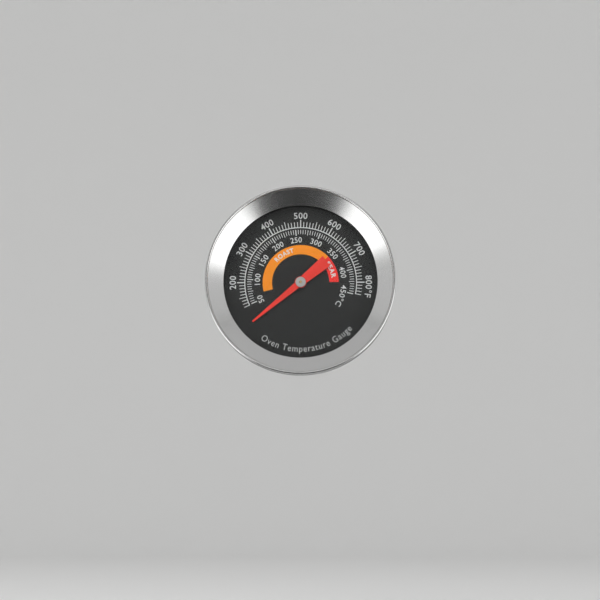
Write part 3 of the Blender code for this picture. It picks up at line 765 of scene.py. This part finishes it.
def add_words(bm, words, start, end, middle_radius, height, station, ink, weight=0.0,
              spacing=1.0, feet_out=False):
    """Adds words bent round the dial, so that they reach from one clock angle to another."""
    mesh = flat_words(words, weight, spacing)
    left = min(v.co.x for v in mesh.vertices)
    right = max(v.co.x for v in mesh.vertices)
    tall = capital_height()
    for vertex in mesh.vertices:
        along = (vertex.co.x - left) / (right - left)
        turn = math.radians(start + (end - start) * along)
        up = (vertex.co.y / tall - 0.5) * height
        r = middle_radius - up if feet_out else middle_radius + up
        vertex.co = on_dial(r, turn, station - (vertex.co.z + 0.5) * ink)
    bm.from_mesh(mesh)
    bpy.data.meshes.remove(mesh)


def finish_print(name, bm, material):
    """A printed piece: flat shading, closed letters, faces outwards."""
    give(finish_mesh(name, bm, sharp=20.0), material, CASE)


# ---- operators ----
class PieceOperator:
    """What every operator of this add-on shares."""

    bl_options = {"REGISTER", "UNDO"}


class THERMOMETER_OT_bezel(PieceOperator, bpy.types.Operator):
    """Make the dished steel bezel with its rolled front edge and the curl at the back"""

    bl_idname = "thermometer.bezel"
    bl_label = "Bezel"

    def execute(self, context):
        settings = context.scene.thermometer_bezel
        b = Millimetres(settings)
        radius, rim = outer("bezel"), front("bezel")
        bead, curl = b.bead_radius, b.curl_radius
        bead_station = rim + bead
        face_outer = radius - 2 * bead
        opening = face_outer - b.face_width
        slope = math.atan2(b.face_rise, b.face_width)
        lip = front("lens") - 0.1 - b.sheet * math.cos(slope)
        face_front = lip - b.face_rise
        wall_end = bead_station + b.wall
        curl_middle = (radius - b.taper - curl, back("bezel") - curl)

        def bend(middle, size, begin, finish, steps):
            turns = [math.radians(begin + (finish - begin) * k / steps) for k in range(steps + 1)]
            return [(middle[0] + size * math.cos(t), middle[1] - size * math.sin(t)) for t in turns]

        path = rounded(
            [(opening, lip), (face_outer, face_front, 0.12),
             bend((radius - bead, bead_station), bead, 165, 0, 20)[0]], closed=False, steps=5)[:-1]
        path += bend((radius - bead, bead_station), bead, 165, 0, 22)
        path += [(radius, bead_station + 0.05), (radius, wall_end - 0.25),
                 (radius - 0.006, wall_end), (radius - 0.02, wall_end + 0.25)]
        path += bend(curl_middle, curl, 0, -90, 12)
        path += [(curl_middle[0] - 0.05, curl_middle[1] + curl),
                 (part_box("case_pan")[1].x / MM - 1.8, curl_middle[1] + curl)]
        face, hidden = sheet_outline(path, b.sheet)
        # the sheet's two cut edges are rounded, so that the opening's edge catches the light
        section = [tuple(p) for p in face[1:-1]]
        section += self.edge(face[-2], face[-1], hidden[-1], hidden[-2], b.lip_round)
        section += [tuple(p) for p in reversed(hidden[1:-1])]
        section += self.edge(hidden[1], hidden[0], face[0], face[1], b.lip_round)
        ring = turned("bezel_ring", section, sharp=40.0)
        steel = metal("satin_steel", tuple(settings.steel), settings.roughness, grain=3.0,
                      grain_scale=2200.0, smudge=0.03, dust=0.0, stain=0.97)
        give(ring, steel, CASE, ["bezel"])
        return {"FINISHED"}

    @staticmethod
    def edge(before, first, second, after, size):
        """The rounded cut edge of a sheet between its two faces."""
        run = rounded([tuple(before), (*first, size), (*second, size), tuple(after)],
                      closed=False, steps=6)
        return run[1:-1]


class THERMOMETER_OT_window(PieceOperator, bpy.types.Operator):
    """Make the flat glass window and the seal cord under the bezel"""

    bl_idname = "thermometer.window"
    bl_label = "Window"

    def execute(self, context):
        rim, (first, last) = outer("lens"), ends("lens")
        pane = rounded([(0, first), (rim, first, 0.15), (rim, last, 0.15), (0, last)],
                       closed=False, steps=3)
        give(turned("window_pane", pane), window_glass(), CASE, ["lens"])
        low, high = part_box("lens_gasket")
        cord = (high.y - low.y) / 2 / MM
        middle = (high.x / MM - cord / math.cos(math.pi / 6) * 0.93, (low.y + high.y) / 2 / MM)
        section = arc(middle, cord * 0.94, 0, 2 * math.pi, 20)[:-1]
        rubber = paint("seal_rubber", (0.02, 0.02, 0.02), 0.6, peel=6.0)
        give(turned("window_seal", section), rubber, CASE, ["lens_gasket"])
        return {"FINISHED"}


class THERMOMETER_OT_dial(PieceOperator, bpy.types.Operator):
    """Make the black dial plate and the spacer that holds the window off it"""

    bl_idname = "thermometer.dial"
    bl_label = "Dial"

    def execute(self, context):
        settings = context.scene.thermometer_dial
        black = paint("dial_black", tuple(settings.black), 0.6, peel=0.15, scale=2600.0,
                      mottle=0.8, shine=0.35)
        plate = tube(1.2, outer("dial_plate"), *ends("dial_plate"), 0.06)
        give(turned("dial_disc", plate), black, CASE, ["dial_plate"])
        matt = paint("spacer_black", (0.012, 0.012, 0.012), 0.55, peel=5.0)
        low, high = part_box("spacer_ring")
        ring = tube(high.x / MM - 4.3, high.x / MM, low.y / MM, high.y / MM, 0.1)
        give(turned("dial_spacer", ring), matt, CASE, ["spacer_ring"])
        return {"FINISHED"}


class THERMOMETER_OT_scales(PieceOperator, bpy.types.Operator):
    """Print the two scales: their marks, the line between them and their numbers"""

    bl_idname = "thermometer.scales"
    bl_label = "Scales"

    def execute(self, context):
        settings = context.scene.thermometer_dial
        d = Millimetres(settings)
        face = front("dial_plate")
        white = print_paint("print_white", settings.white)
        marks = tree_named("scale_marks")
        middle = (face - d.ink / 2) * MM
        outer_marks = tree_piece(
            "fahrenheit_marks", marks, white, count=73, offset=2,
            first_angle=math.radians(-114.0), step=math.radians(3.0),
            start_radius=(d.baseline - 0.05) * MM, short=1.95 * MM, middle=2.55 * MM,
            long=2.7 * MM, width=0.23 * MM, long_width=0.36 * MM, station=middle,
            thickness=d.ink * MM)
        give(outer_marks, white, CASE)
        inner_marks = tree_piece(
            "celsius_marks", marks, white, count=81, offset=0,
            first_angle=math.radians(-113.4), step=math.radians(2.7),
            start_radius=d.inner_ends * MM, short=-1.45 * MM, middle=-1.8 * MM,
            long=-2.0 * MM, width=0.2 * MM, long_width=0.32 * MM, station=middle,
            thickness=d.ink * MM)
        give(inner_marks, white, CASE)
        bm = bmesh.new()
        sector(bm, d.baseline - 0.15, d.baseline + 0.15, -114.4, 102.4, face, d.ink * 1.05)
        finish_print("fahrenheit_line", bm, white)

        def numbers(name, words, radius, height, weight):
            bm = bmesh.new()
            for word, start, end in words:
                add_words(bm, word, start, end, radius, height, face, d.ink, weight=weight,
                          spacing=1.07)
            finish_print(name, bm, white)

        words = []
        for heat in range(200, 800, 100):
            turn = (heat - 500) * 0.3
            words.append((str(heat), turn - 5.75, turn + 5.75))
        words.append(("800°F", 84.25, 103.0))
        numbers("fahrenheit_numbers", words, d.outer_numbers, 2.05, 0.01)

        words = []
        for heat in range(50, 450, 50):
            turn = heat * 0.54 - 139.5 - (1.5 if 200 < heat < 400 else 0.0)
            half = 4.9 if heat < 100 else 7.5
            words.append((str(heat), turn - half, turn + half))
        words.append(("450°C", 93.75, 123.0))
        numbers("celsius_numbers", words, d.inner_numbers, 1.78, 0.008)
        return {"FINISHED"}


class THERMOMETER_OT_bands(PieceOperator, bpy.types.Operator):
    """Print the two coloured heat bands, their words and the caption"""

    bl_idname = "thermometer.bands"
    bl_label = "Heat Bands"

    def execute(self, context):
        settings = context.scene.thermometer_dial
        d = Millimetres(settings)
        face = front("dial_plate")
        orange = print_paint("print_orange", settings.orange, mottle=0.93)
        red = print_paint("print_red", settings.red)
        for name, ink, start, end in (("low_heat_band", orange, -103.75, 46.25),
                                      ("high_heat_band", red, 46.25, 89.5)):
            bm = bmesh.new()
            sector(bm, d.band_inner, d.band_outer, start, end, face, d.ink)
            finish_print(name, bm, ink)
        white = print_paint("word_white", (0.8, 0.78, 0.76))
        bm = bmesh.new()
        over = face - d.ink * 0.9
        middle = (d.band_inner + d.band_outer) / 2 + 0.05
        for word, start, end in ((settings.low_word, -48.5, -12.5),
                                 (settings.high_word, 52.5, 82.0)):
            add_words(bm, word, start, end, middle, 1.45, over, d.ink, weight=0.03, spacing=1.2)
        finish_print("heat_words", bm, white)
        grey = print_paint("print_grey", settings.grey)
        bm = bmesh.new()
        add_words(bm, settings.caption, 215.0, 132.5, 22.3, 2.1, face, d.ink, spacing=1.12,
                  feet_out=True)
        finish_print("dial_caption", bm, grey)
        return {"FINISHED"}


class THERMOMETER_OT_pointer(PieceOperator, bpy.types.Operator):
    """Make the red pointer, its brass bushing, the silver disc over it and the spindle"""

    bl_idname = "thermometer.pointer"
    bl_label = "Pointer"

    def execute(self, context):
        settings = context.scene.thermometer_pointer
        p = Millimetres(settings)
        low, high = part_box("pointer")
        enamel = paint("pointer_red", tuple(settings.red), 0.4, peel=1.2, mottle=0.92, shine=0.4)
        blade = self.blade(p, settings.rest, low.y / MM, high.y / MM)
        give(blade, enamel, NEEDLE, ["pointer"])

        brass = metal("bushing_brass", (0.78, 0.55, 0.24), 0.25, turned=2.5, rings=9000.0)
        bore = SPINDLE_BORE
        first, last = ends("pointer_bushing")
        step = last - 0.25
        bushing = rounded([(bore, last), (1.7, last, 0.05), (1.7, step, 0.05), (0.9, step, 0.03),
                           (0.9, first, 0.06), (bore, first)], steps=3)
        give(turned("pointer_boss", bushing, SMALL_STEPS), brass, NEEDLE,
             ["pointer_bushing"])

        rim, (first, last) = outer("pointer_cap"), ends("pointer_cap")
        cap = rounded([(bore, last), (rim, last, 0.05), (rim, first + 0.14, 0.08),
                       (rim - 0.15, first, 0.06), (rim - 0.35, first, 0.05),
                       (rim - 0.43, first + 0.05, 0.05), (0.72, first + 0.05, 0.03),
                       (0.64, first + 0.13, 0.03),
                       (bore, first + 0.13)], steps=4, support=0.02)
        silver = metal("cap_silver", (0.7, 0.7, 0.7), 0.3, turned=5.0, rings=9000.0,
                       grain=3.0)
        give(turned("pointer_disc", cap, SMALL_STEPS), silver, NEEDLE,
             ["pointer_cap"])

        first, last = ends("spindle")
        rod = rounded([(0, first), (0.4, first, 0.1), (0.4, last, 0.06), (0, last)],
                      closed=False, steps=5, support=0.02)
        shaft = metal("spindle_brass", (0.83, 0.6, 0.27), 0.22, turned=2.0, rings=9000.0)
        give(turned("spindle_rod", rod, 64), shaft, NEEDLE, ["spindle"])

        grip = tube(bore, outer("coil_collar"), *ends("coil_collar"), 0.1)
        give(turned("coil_hub", grip, 64), brass, NEEDLE, ["coil_collar"])
        return {"FINISHED"}

    @staticmethod
    def blade(p, rest, first, last):
        """The pointer's sheet, with softened edges, turned to its place."""
        root, tail = math.asin(p.root_width / 2 / p.hub), math.asin(p.tail_root / 2 / p.hub)
        half = math.pi - root - tail
        outline = [(p.tip_width / 2 - 0.12, p.tip), (p.tip_width / 2, p.tip - 0.12)]
        outline += [(p.hub * math.sin(root + half * k / 24), p.hub * math.cos(root + half * k / 24))
                    for k in range(25)]
        outline += [(p.tail_width / 2, -p.tail - p.slant / 2),
                    (-p.tail_width / 2, -p.tail + p.slant / 2)]
        outline += [(-p.hub * math.sin(tail + half * k / 24),
                     -p.hub * math.cos(tail + half * k / 24)) for k in range(25)]
        outline += [(-p.tip_width / 2, p.tip - 0.12), (0.12 - p.tip_width / 2, p.tip)]
        hole = arc((0, 0), 1.0, 0, 2 * math.pi, 48)[:-1]
        edge = 0.05
        curve = bpy.data.curves.new("pointer_blade", "CURVE")
        curve.dimensions = "2D"
        curve.fill_mode = "BOTH"
        curve.extrude = (last - first) / 2 - edge
        curve.bevel_depth = edge
        curve.bevel_resolution = 2
        curve.offset = -edge
        for points in (outline, hole):
            spline = curve.splines.new("POLY")
            spline.points.add(len(points) - 1)
            for point, (x, y) in zip(spline.points, points):
                point.co = (x, y, 0, 1)
            spline.use_cyclic_u = True
        mesh = evaluated(new_object("pointer_curve", curve), "pointer_blade")
        middle = (first + last) / 2
        for vertex in mesh.vertices:
            x, up, depth = vertex.co
            vertex.co = on_dial(math.hypot(x, up), math.atan2(x, up) + rest, middle + depth)
        return finish_mesh("pointer_blade", bm_of(mesh), sharp=50.0)


class THERMOMETER_OT_case(PieceOperator, bpy.types.Operator):
    """Make the pressed steel case with its raised seat, and the thin washer inside it"""

    bl_idname = "thermometer.case"
    bl_label = "Case"

    def execute(self, context):
        flange, depth = outer("case_pan"), back("case_pan")
        wall = flange - 4.4
        path = rounded([
            (flange, depth - 4.9), (wall + 0.4, depth - 4.9, 0.45), (wall, depth - 4.3, 0.5),
            (wall, depth, 2.4), (wall - 9.8, depth, 0.9), (wall - 11.5, depth - 0.4, 0.9),
            (4.15, depth - 0.4)], closed=False, steps=8)
        face, hidden = sheet_outline(path, 0.5)
        section = [tuple(v) for v in face] + [tuple(v) for v in reversed(hidden)]
        dull = metal("case_steel", (0.46, 0.46, 0.45), 0.3, grain=7.0, turned=4.0, rings=2600.0,
                     wear_and_painted_light=0.8, smudge=0.22, stain=0.78)
        give(turned("case_shell", section), dull, CASE, ["case_pan"])
        thin = metal("backing_steel", (0.55, 0.55, 0.54), 0.35, grain=6.0, wear_and_painted_light=0.4)
        ring = tube(4.15, outer("backing_washer"), *ends("backing_washer"), 0.08)
        give(turned("backing_ring", ring), thin, CASE, ["backing_washer"])
        return {"FINISHED"}


class THERMOMETER_OT_stem(PieceOperator, bpy.types.Operator):
    """Make the threaded shank, the sensing stem and its closed tip"""

    bl_idname = "thermometer.stem"
    bl_label = "Shank And Stem"

    def execute(self, context):
        settings = context.scene.thermometer_stem
        s = Millimetres(settings)
        crest, root = THREAD_CREST, THREAD_CREST - s.depth
        head, shoulder, spigot = front("threaded_shank"), s.thread_end + 0.8, back("threaded_shank")
        core = rounded([
            (0.75, head), (7.0, head, 0.2), (7.0, head + 1.2, 0.15), (crest, head + 1.2, 0.1),
            (crest, 0.5, 0.25), (root - 0.23, 0.8, 0.1), (root - 0.23, 0.95), (root, 1.1),
            (root, s.thread_end - 0.3), (root - 0.23, s.thread_end, 0.1),
            (root - 0.23, shoulder, 0.12), (2.6, shoulder, 0.05), (2.6, spigot, 0.15),
            (0.75, spigot)], steps=5)
        steel = metal("shank_steel", tuple(settings.steel), 0.24, turned=4.0, rings=7000.0,
                      grain=2.0, wear_and_painted_light=0.5, stain=0.92)
        stud = turned("shank_core", core, SMALL_STEPS * 2)
        ridge = thread_ridge("shank_ridge", steel, s, root, s.thread_start + RIDGE_OFFSET,
                             (s.thread_end - 1.25) / s.pitch - 0.6, 0.35)
        join([stud, ridge], "shank_stud")
        give(stud, steel, CASE, ["threaded_shank"])

        drawn = metal("stem_steel", (0.6, 0.6, 0.59), 0.2, turned=2.0, rings=5200.0, grain=2.5,
                      wear_and_painted_light=0.2, smudge=0.08)
        first, last = ends("stem_tube")
        sheath = tube(2.7, STEM_RADIUS, first, last, 0.1)
        give(turned("stem_sheath", sheath, SMALL_STEPS * 2), drawn, CASE,
             ["stem_tube"])
        low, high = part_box("stem_tip_plug")
        base, dome = last + 0.1, high.y / MM - last - 0.1
        tip = rounded([(0, low.y / MM), (2.6, low.y / MM, 0.15), (2.6, base, 0.03),
                       (STEM_RADIUS, base, 0.1), (STEM_RADIUS, base + 0.35)],
                      closed=False, steps=5)
        tip += [(STEM_RADIUS * math.cos(t), base + 0.35 + (dome - 0.35) * math.sin(t))
                for t in (math.radians(90) * k / 24 for k in range(1, 24))]
        end = turned("stem_tip", tip + [(0, base + dome)], SMALL_STEPS * 2)
        tip_steel = metal("tip_steel", (0.58, 0.58, 0.57), 0.25, turned=4.0, rings=6000.0,
                          wear_and_painted_light=0.2)
        give(end, tip_steel, CASE, ["stem_tip_plug"])
        return {"FINISHED"}


class THERMOMETER_OT_movement(PieceOperator, bpy.types.Operator):
    """Make the bimetal helix and the two bushes of the spindle, hidden inside the stem"""

    bl_idname = "thermometer.movement"
    bl_label = "Movement"

    def execute(self, context):
        low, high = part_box("bimetal_coil")
        width, strip, pitch = 1.4, 0.2, 1.9
        metal_strip = metal("bimetal_strip", (0.5, 0.45, 0.4), 0.32, grain=3.0)
        run = (high.y - low.y) / MM - width
        helix = tree_piece(
            "bimetal_helix", tree_named("helix"), metal_strip, steps=64,
            radius=(2.3 - strip) * MM, pitch=pitch * MM, turns=run / pitch, depth=strip * MM,
            inside_width=width * MM, outside_width=width * MM,
            station=low.y + width / 2 * MM, start_angle=0.0, fade_turns=0.0001)
        give(helix, metal_strip, CASE, ["bimetal_coil"])
        plastic = paint("bearing_cream", (0.68, 0.63, 0.5), 0.45, peel=3.0)
        first, last = ends("upper_bearing")
        flange = rounded([
            (SPINDLE_BORE, first, 0.08), (2.6, first, 0.1), (2.6, first + 0.6, 0.05),
            (1.9, first + 0.6, 0.03), (1.9, last, 0.1), (SPINDLE_BORE, last, 0.08)], steps=4)
        give(turned("front_bush", flange, SMALL_STEPS), plastic, CASE,
             ["upper_bearing"])
        plain = tube(SPINDLE_BORE, 1.6, *ends("lower_bearing"), 0.1)
        give(turned("rear_bush", plain, SMALL_STEPS), plastic, CASE,
             ["lower_bearing"])
        return {"FINISHED"}


class THERMOMETER_OT_washer(PieceOperator, bpy.types.Operator):
    """Make the flat washer that bears on the oven lid"""

    bl_idname = "thermometer.washer"
    bl_label = "Washer"

    def execute(self, context):
        rim, (first, last) = outer("flat_washer"), ends("flat_washer")
        section = rounded([(4.2, first, 0.12), (rim, first, 0.05), (rim, last, 0.22),
                           (4.2, last, 0.18)], steps=5)
        steel = metal("washer_steel", (0.57, 0.57, 0.56), 0.28, grain=6.0, turned=3.0,
                      rings=2400.0, wear_and_painted_light=0.6, smudge=0.1)
        give(turned("lid_washer", section), steel, WASHER, ["flat_washer"])
        return {"FINISHED"}


class THERMOMETER_OT_wing_nut(PieceOperator, bpy.types.Operator):
    """Make the cast wing nut that clamps the gauge"""

    bl_idname = "thermometer.wing_nut"
    bl_label = "Wing Nut"

    def execute(self, context):
        s = Millimetres(context.scene.thermometer_stem)
        reach, (seat, top) = outer("wing_nut"), ends("wing_nut")
        tall = 5.5
        bm = bmesh.new()
        add_turned(bm, [(0, seat), (5.9, seat), (6.2, seat + 0.3), (5.2, seat + tall),
                        (0, seat + tall)], SMALL_STEPS)
        for side in (-1, 1):
            self.add_wing(bm, side, seat, reach, top)
        blank = finish_mesh("nut_blank", bm)
        remesh = blank.modifiers.new("cast", "REMESH")
        remesh.mode = "VOXEL"
        remesh.voxel_size = 0.17 * MM
        soft = blank.modifiers.new("soften", "SMOOTH")
        soft.factor = 0.5
        soft.iterations = 9
        cast = finish_mesh("nut_cast", bm_of(evaluated(blank)), sharp=60.0)
        crest = THREAD_CREST + 0.12
        bore = turned("nut_bore", [(0, seat - 3), (crest, seat - 3), (crest, top + 3),
                                   (0, top + 3)], SMALL_STEPS * 2)
        facing = turned("nut_facing", [(0, seat - 3), (20, seat - 3), (20, seat),
                                       (0, seat)], 64)
        for cutter in (bore, facing):
            cut = cast.modifiers.new("cut_" + cutter.name, "BOOLEAN")
            cut.operation = "DIFFERENCE"
            cut.solver = "EXACT"
            cut.object = cutter
        nut = finish_mesh("wing_nut_body", bm_of(evaluated(cast)), sharp=50.0)
        for cutter in (bore, facing):
            bpy.data.objects.remove(cutter, do_unlink=True)
        zinc = metal("nut_steel", (0.6, 0.6, 0.585), 0.3, grain=16.0, grain_scale=1500.0,
                     wear_and_painted_light=0.7, smudge=0.12, stain=0.85)
        # Half a pitch off the shank's ridge, so that the two threads mesh.
        first = s.thread_start + RIDGE_OFFSET + 1.5 * s.pitch
        turns = (seat + tall - 0.3 - first) / s.pitch
        ridge = thread_ridge("nut_ridge", zinc, s, crest, first, turns, 0.2, side=-1)
        join([nut, ridge], "cast_wing_nut")
        give(nut, zinc, NUT, ["wing_nut"])
        return {"FINISHED"}

    @staticmethod
    def add_wing(bm, side, seat, reach, top):
        """Adds one ear: a thick plate between a small round at its root and a large one at its
        tip."""
        tip_round, root_round, half = 2.5, 1.9, 1.0
        low = Vector((6.2 - root_round, seat + 0.5 + root_round))
        high = Vector((reach - tip_round, top - tip_round))
        run = high - low
        spread = math.asin((tip_round - root_round) / run.length)
        lean = math.atan2(run.y, run.x)
        outline = []
        for middle, size, begin, finish in (
            (high, tip_round, lean - math.pi / 2 - spread, lean + math.pi / 2 + spread),
            (low, root_round, lean + math.pi / 2 + spread, lean + 1.5 * math.pi - spread),
        ):
            outline += arc(middle, size, begin, finish, 20)
        # the plate is thickest at its middle and rounds off to its edge
        inset, centre = 0.45, (low + high) / 2
        rings = []
        for shrink, offset in ((inset, -half), (0.0, inset - half), (0.0, half - inset),
                               (inset, half)):
            ring = []
            for x, y in outline:
                away = Vector((x, y)) - centre
                x, y = centre + away * (1 - shrink / away.length)
                ring.append(bm.verts.new((side * x * MM, y * MM, offset * MM)))
            rings.append(ring)
        count = len(outline)
        for one, two in zip(rings, rings[1:]):
            for k in range(count):
                n = (k + 1) % count
                bm.faces.new((one[k], one[n], two[n], two[k]))
        bm.faces.new(rings[0])
        bm.faces.new(rings[-1][::-1])


def join(objects, name):
    """Joins closed meshes into the first object, which takes the name."""
    bm = bm_of(objects[0].data)
    for other in objects[1:]:
        bm.from_mesh(other.data)
        bpy.data.objects.remove(other, do_unlink=True)
    bm.to_mesh(objects[0].data)
    bm.free()
    objects[0].name = objects[0].data.name = name


class THERMOMETER_OT_stage(PieceOperator, bpy.types.Operator):
    """Make the pale floor and backdrop, the soft lights and the camera"""

    bl_idname = "thermometer.stage"
    bl_label = "Stage"

    def execute(self, context):
        settings = context.scene.thermometer_stage
        self.backdrop(settings)
        self.lights(context, settings)
        self.camera(context, settings)
        context.scene.view_settings.view_transform = "Standard"
        return {"FINISHED"}

    @staticmethod
    def backdrop(settings):
        """A floor that sweeps up into a wall all round."""
        floor = -settings.floor_drop / MM
        outline = rounded([(0, floor), (1900, floor, 900), (1900, 1500)], closed=False, steps=40)
        bm = bmesh.new()
        add_turned(bm, outline + [(1930, 1500), (1930, floor - 30), (0, floor - 30)], 128,
                   upright=True)
        sweep = finish_mesh("pale_sweep", bm, sharp=60.0)
        mat, tree, shader = new_material("pale_backdrop")
        matt = add(tree, "ShaderNodeBsdfDiffuse", {"Color": (*settings.floor_colour, 1)})
        fill(tree, tree.nodes["Material Output"], {"Surface": matt.outputs[0]})
        sweep.data.materials.append(mat)

    def lights(self, context, settings):
        """Even light all round, a soft front light, bright low cards at both sides and dark
        cards that give the steel and the glass something dark to mirror."""
        world = bpy.data.worlds.new("soft_room")
        world.use_nodes = True
        fill(world.node_tree, world.node_tree.nodes["Background"],
             {"Color": (1, 1, 1, 1), "Strength": settings.sky})
        context.scene.world = world

        lamp = bpy.data.lights.new("front_softbox", "AREA")
        lamp.shape = "RECTANGLE"
        lamp.size, lamp.size_y = 0.9, 0.7
        lamp.energy = settings.key_power
        key = new_object("front_softbox", lamp)
        key.location = (-0.35, -1.0, 0.75)
        key.rotation_euler = (-key.location).to_track_quat("-Z", "Y").to_euler()
        key.visible_glossy = False
        key.visible_transmission = False

        floor = 0.002 - settings.floor_drop
        for name, side, top, wall in (("left", -1, -0.085, 0.68), ("right", 1, 0.02, 0.66)):
            near, far = side * 0.11, side * 0.5
            self.card(name + "_low_card", settings.side_cards, [
                (near, -0.45, floor), (far, -0.75, floor), (far, 0.05, floor), (near, -0.02, floor)])
            self.card(name + "_side_card", settings.side_cards, [
                (far, -0.75, floor), (far, -0.75, top), (far, 0.05, top), (far, 0.05, floor)])
            far = side * 1.1
            self.card(name + "_wall_card", wall, [
                (far, -1.1, 0.05), (far, -1.1, 0.8), (far, 0.2, 0.8), (far, 0.2, 0.05)])
        self.card("dark_floor_card", 0.04, [
            (-0.09, -0.6, floor), (0.09, -0.6, floor), (0.09, 0.0, floor), (-0.09, 0.0, floor)])
        self.card("dark_front_card", 0.0, [
            (-0.3, -1.0, 0.02), (0.3, -1.0, 0.02), (0.3, -1.0, 0.4), (-0.3, -1.0, 0.4)])
        self.card("bright_front_card", 1.7, [
            (-0.35, -1.0, 0.45), (0.35, -1.0, 0.45), (0.35, -0.9, 0.8), (-0.35, -0.9, 0.8)])
        self.card("dark_rear_card", 0.12, [
            (-0.9, 0.5, floor), (0.9, 0.5, floor), (0.9, 1.3, 0.1), (-0.9, 1.3, 0.1)])

    @staticmethod
    def card(name, strength, corners):
        """A reflector that only mirrors see."""
        bm = bmesh.new()
        bm.faces.new([bm.verts.new(corner) for corner in corners])
        obj = finish_mesh(name, bm)
        mat, tree, shader = new_material(name)
        fill(tree, shader, {
            "Base Color": (0.004, 0.004, 0.004, 1), "Specular IOR Level": 0.0,
            "Emission Color": (1, 1, 1, 1), "Emission Strength": strength})
        obj.data.materials.append(mat)
        for ray in ("camera", "diffuse", "transmission", "shadow"):
            setattr(obj, "visible_" + ray, False)

    @staticmethod
    def camera(context, settings):
        turn, rise = settings.azimuth, settings.elevation
        away = Vector((math.sin(turn) * math.cos(rise), -math.cos(turn) * math.cos(rise),
                       math.sin(rise)))
        right = Vector((0, 0, 1)).cross(away).normalized()
        up = away.cross(right)
        low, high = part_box("bezel")
        middle = Vector((-0.08 * MM, low.y + 0.002, 0))
        place = middle - up * settings.drop + away * settings.distance
        data = bpy.data.cameras.new("view")
        data.lens = 85.0
        data.sensor_width = 36.0
        data.clip_start = 0.01
        data.clip_end = 20.0
        camera = new_object("view", data)
        camera.matrix_world = Matrix.Translation(place) @ Matrix(
            (right, up, away)).transposed().to_4x4()
        context.scene.camera = camera


SETTINGS = {
    "thermometer_bezel": BezelSettings,
    "thermometer_dial": DialSettings,
    "thermometer_pointer": PointerSettings,
    "thermometer_stem": StemSettings,
    "thermometer_stage": StageSettings,
}
OPERATORS = (
    THERMOMETER_OT_bezel,
    THERMOMETER_OT_window,
    THERMOMETER_OT_dial,
    THERMOMETER_OT_scales,
    THERMOMETER_OT_bands,
    THERMOMETER_OT_pointer,
    THERMOMETER_OT_case,
    THERMOMETER_OT_stem,
    THERMOMETER_OT_movement,
    THERMOMETER_OT_washer,
    THERMOMETER_OT_wing_nut,
    THERMOMETER_OT_stage,
)


class THERMOMETER_PT_panel(bpy.types.Panel):
    """Lists the pieces and their sizes"""

    bl_idname = "THERMOMETER_PT_panel"
    bl_label = "Oven Lid Thermometer"
    bl_space_type = "VIEW_3D"
    bl_region_type = "UI"
    bl_category = "Thermometer"

    def draw(self, context):
        layout = self.layout
        for name, group in SETTINGS.items():
            box = layout.box()
            box.label(text=group.__name__)
            settings = getattr(context.scene, name)
            for key in group.__annotations__:
                box.prop(settings, key)
        for operator in OPERATORS:
            layout.operator(operator.bl_idname)


CLASSES = (*SETTINGS.values(), *OPERATORS, THERMOMETER_PT_panel)


def register():
    for cls in CLASSES:
        bpy.utils.register_class(cls)
    for name, group in SETTINGS.items():
        setattr(bpy.types.Scene, name, PointerProperty(type=group))


def unregister():
    for name in SETTINGS:
        delattr(bpy.types.Scene, name)
    for cls in reversed(CLASSES):
        bpy.utils.unregister_class(cls)


def main():
    register()
    for operator in OPERATORS:
        group, name = operator.bl_idname.split(".")
        getattr(getattr(bpy.ops, group), name)()


if __name__ == "__main__":
    main()
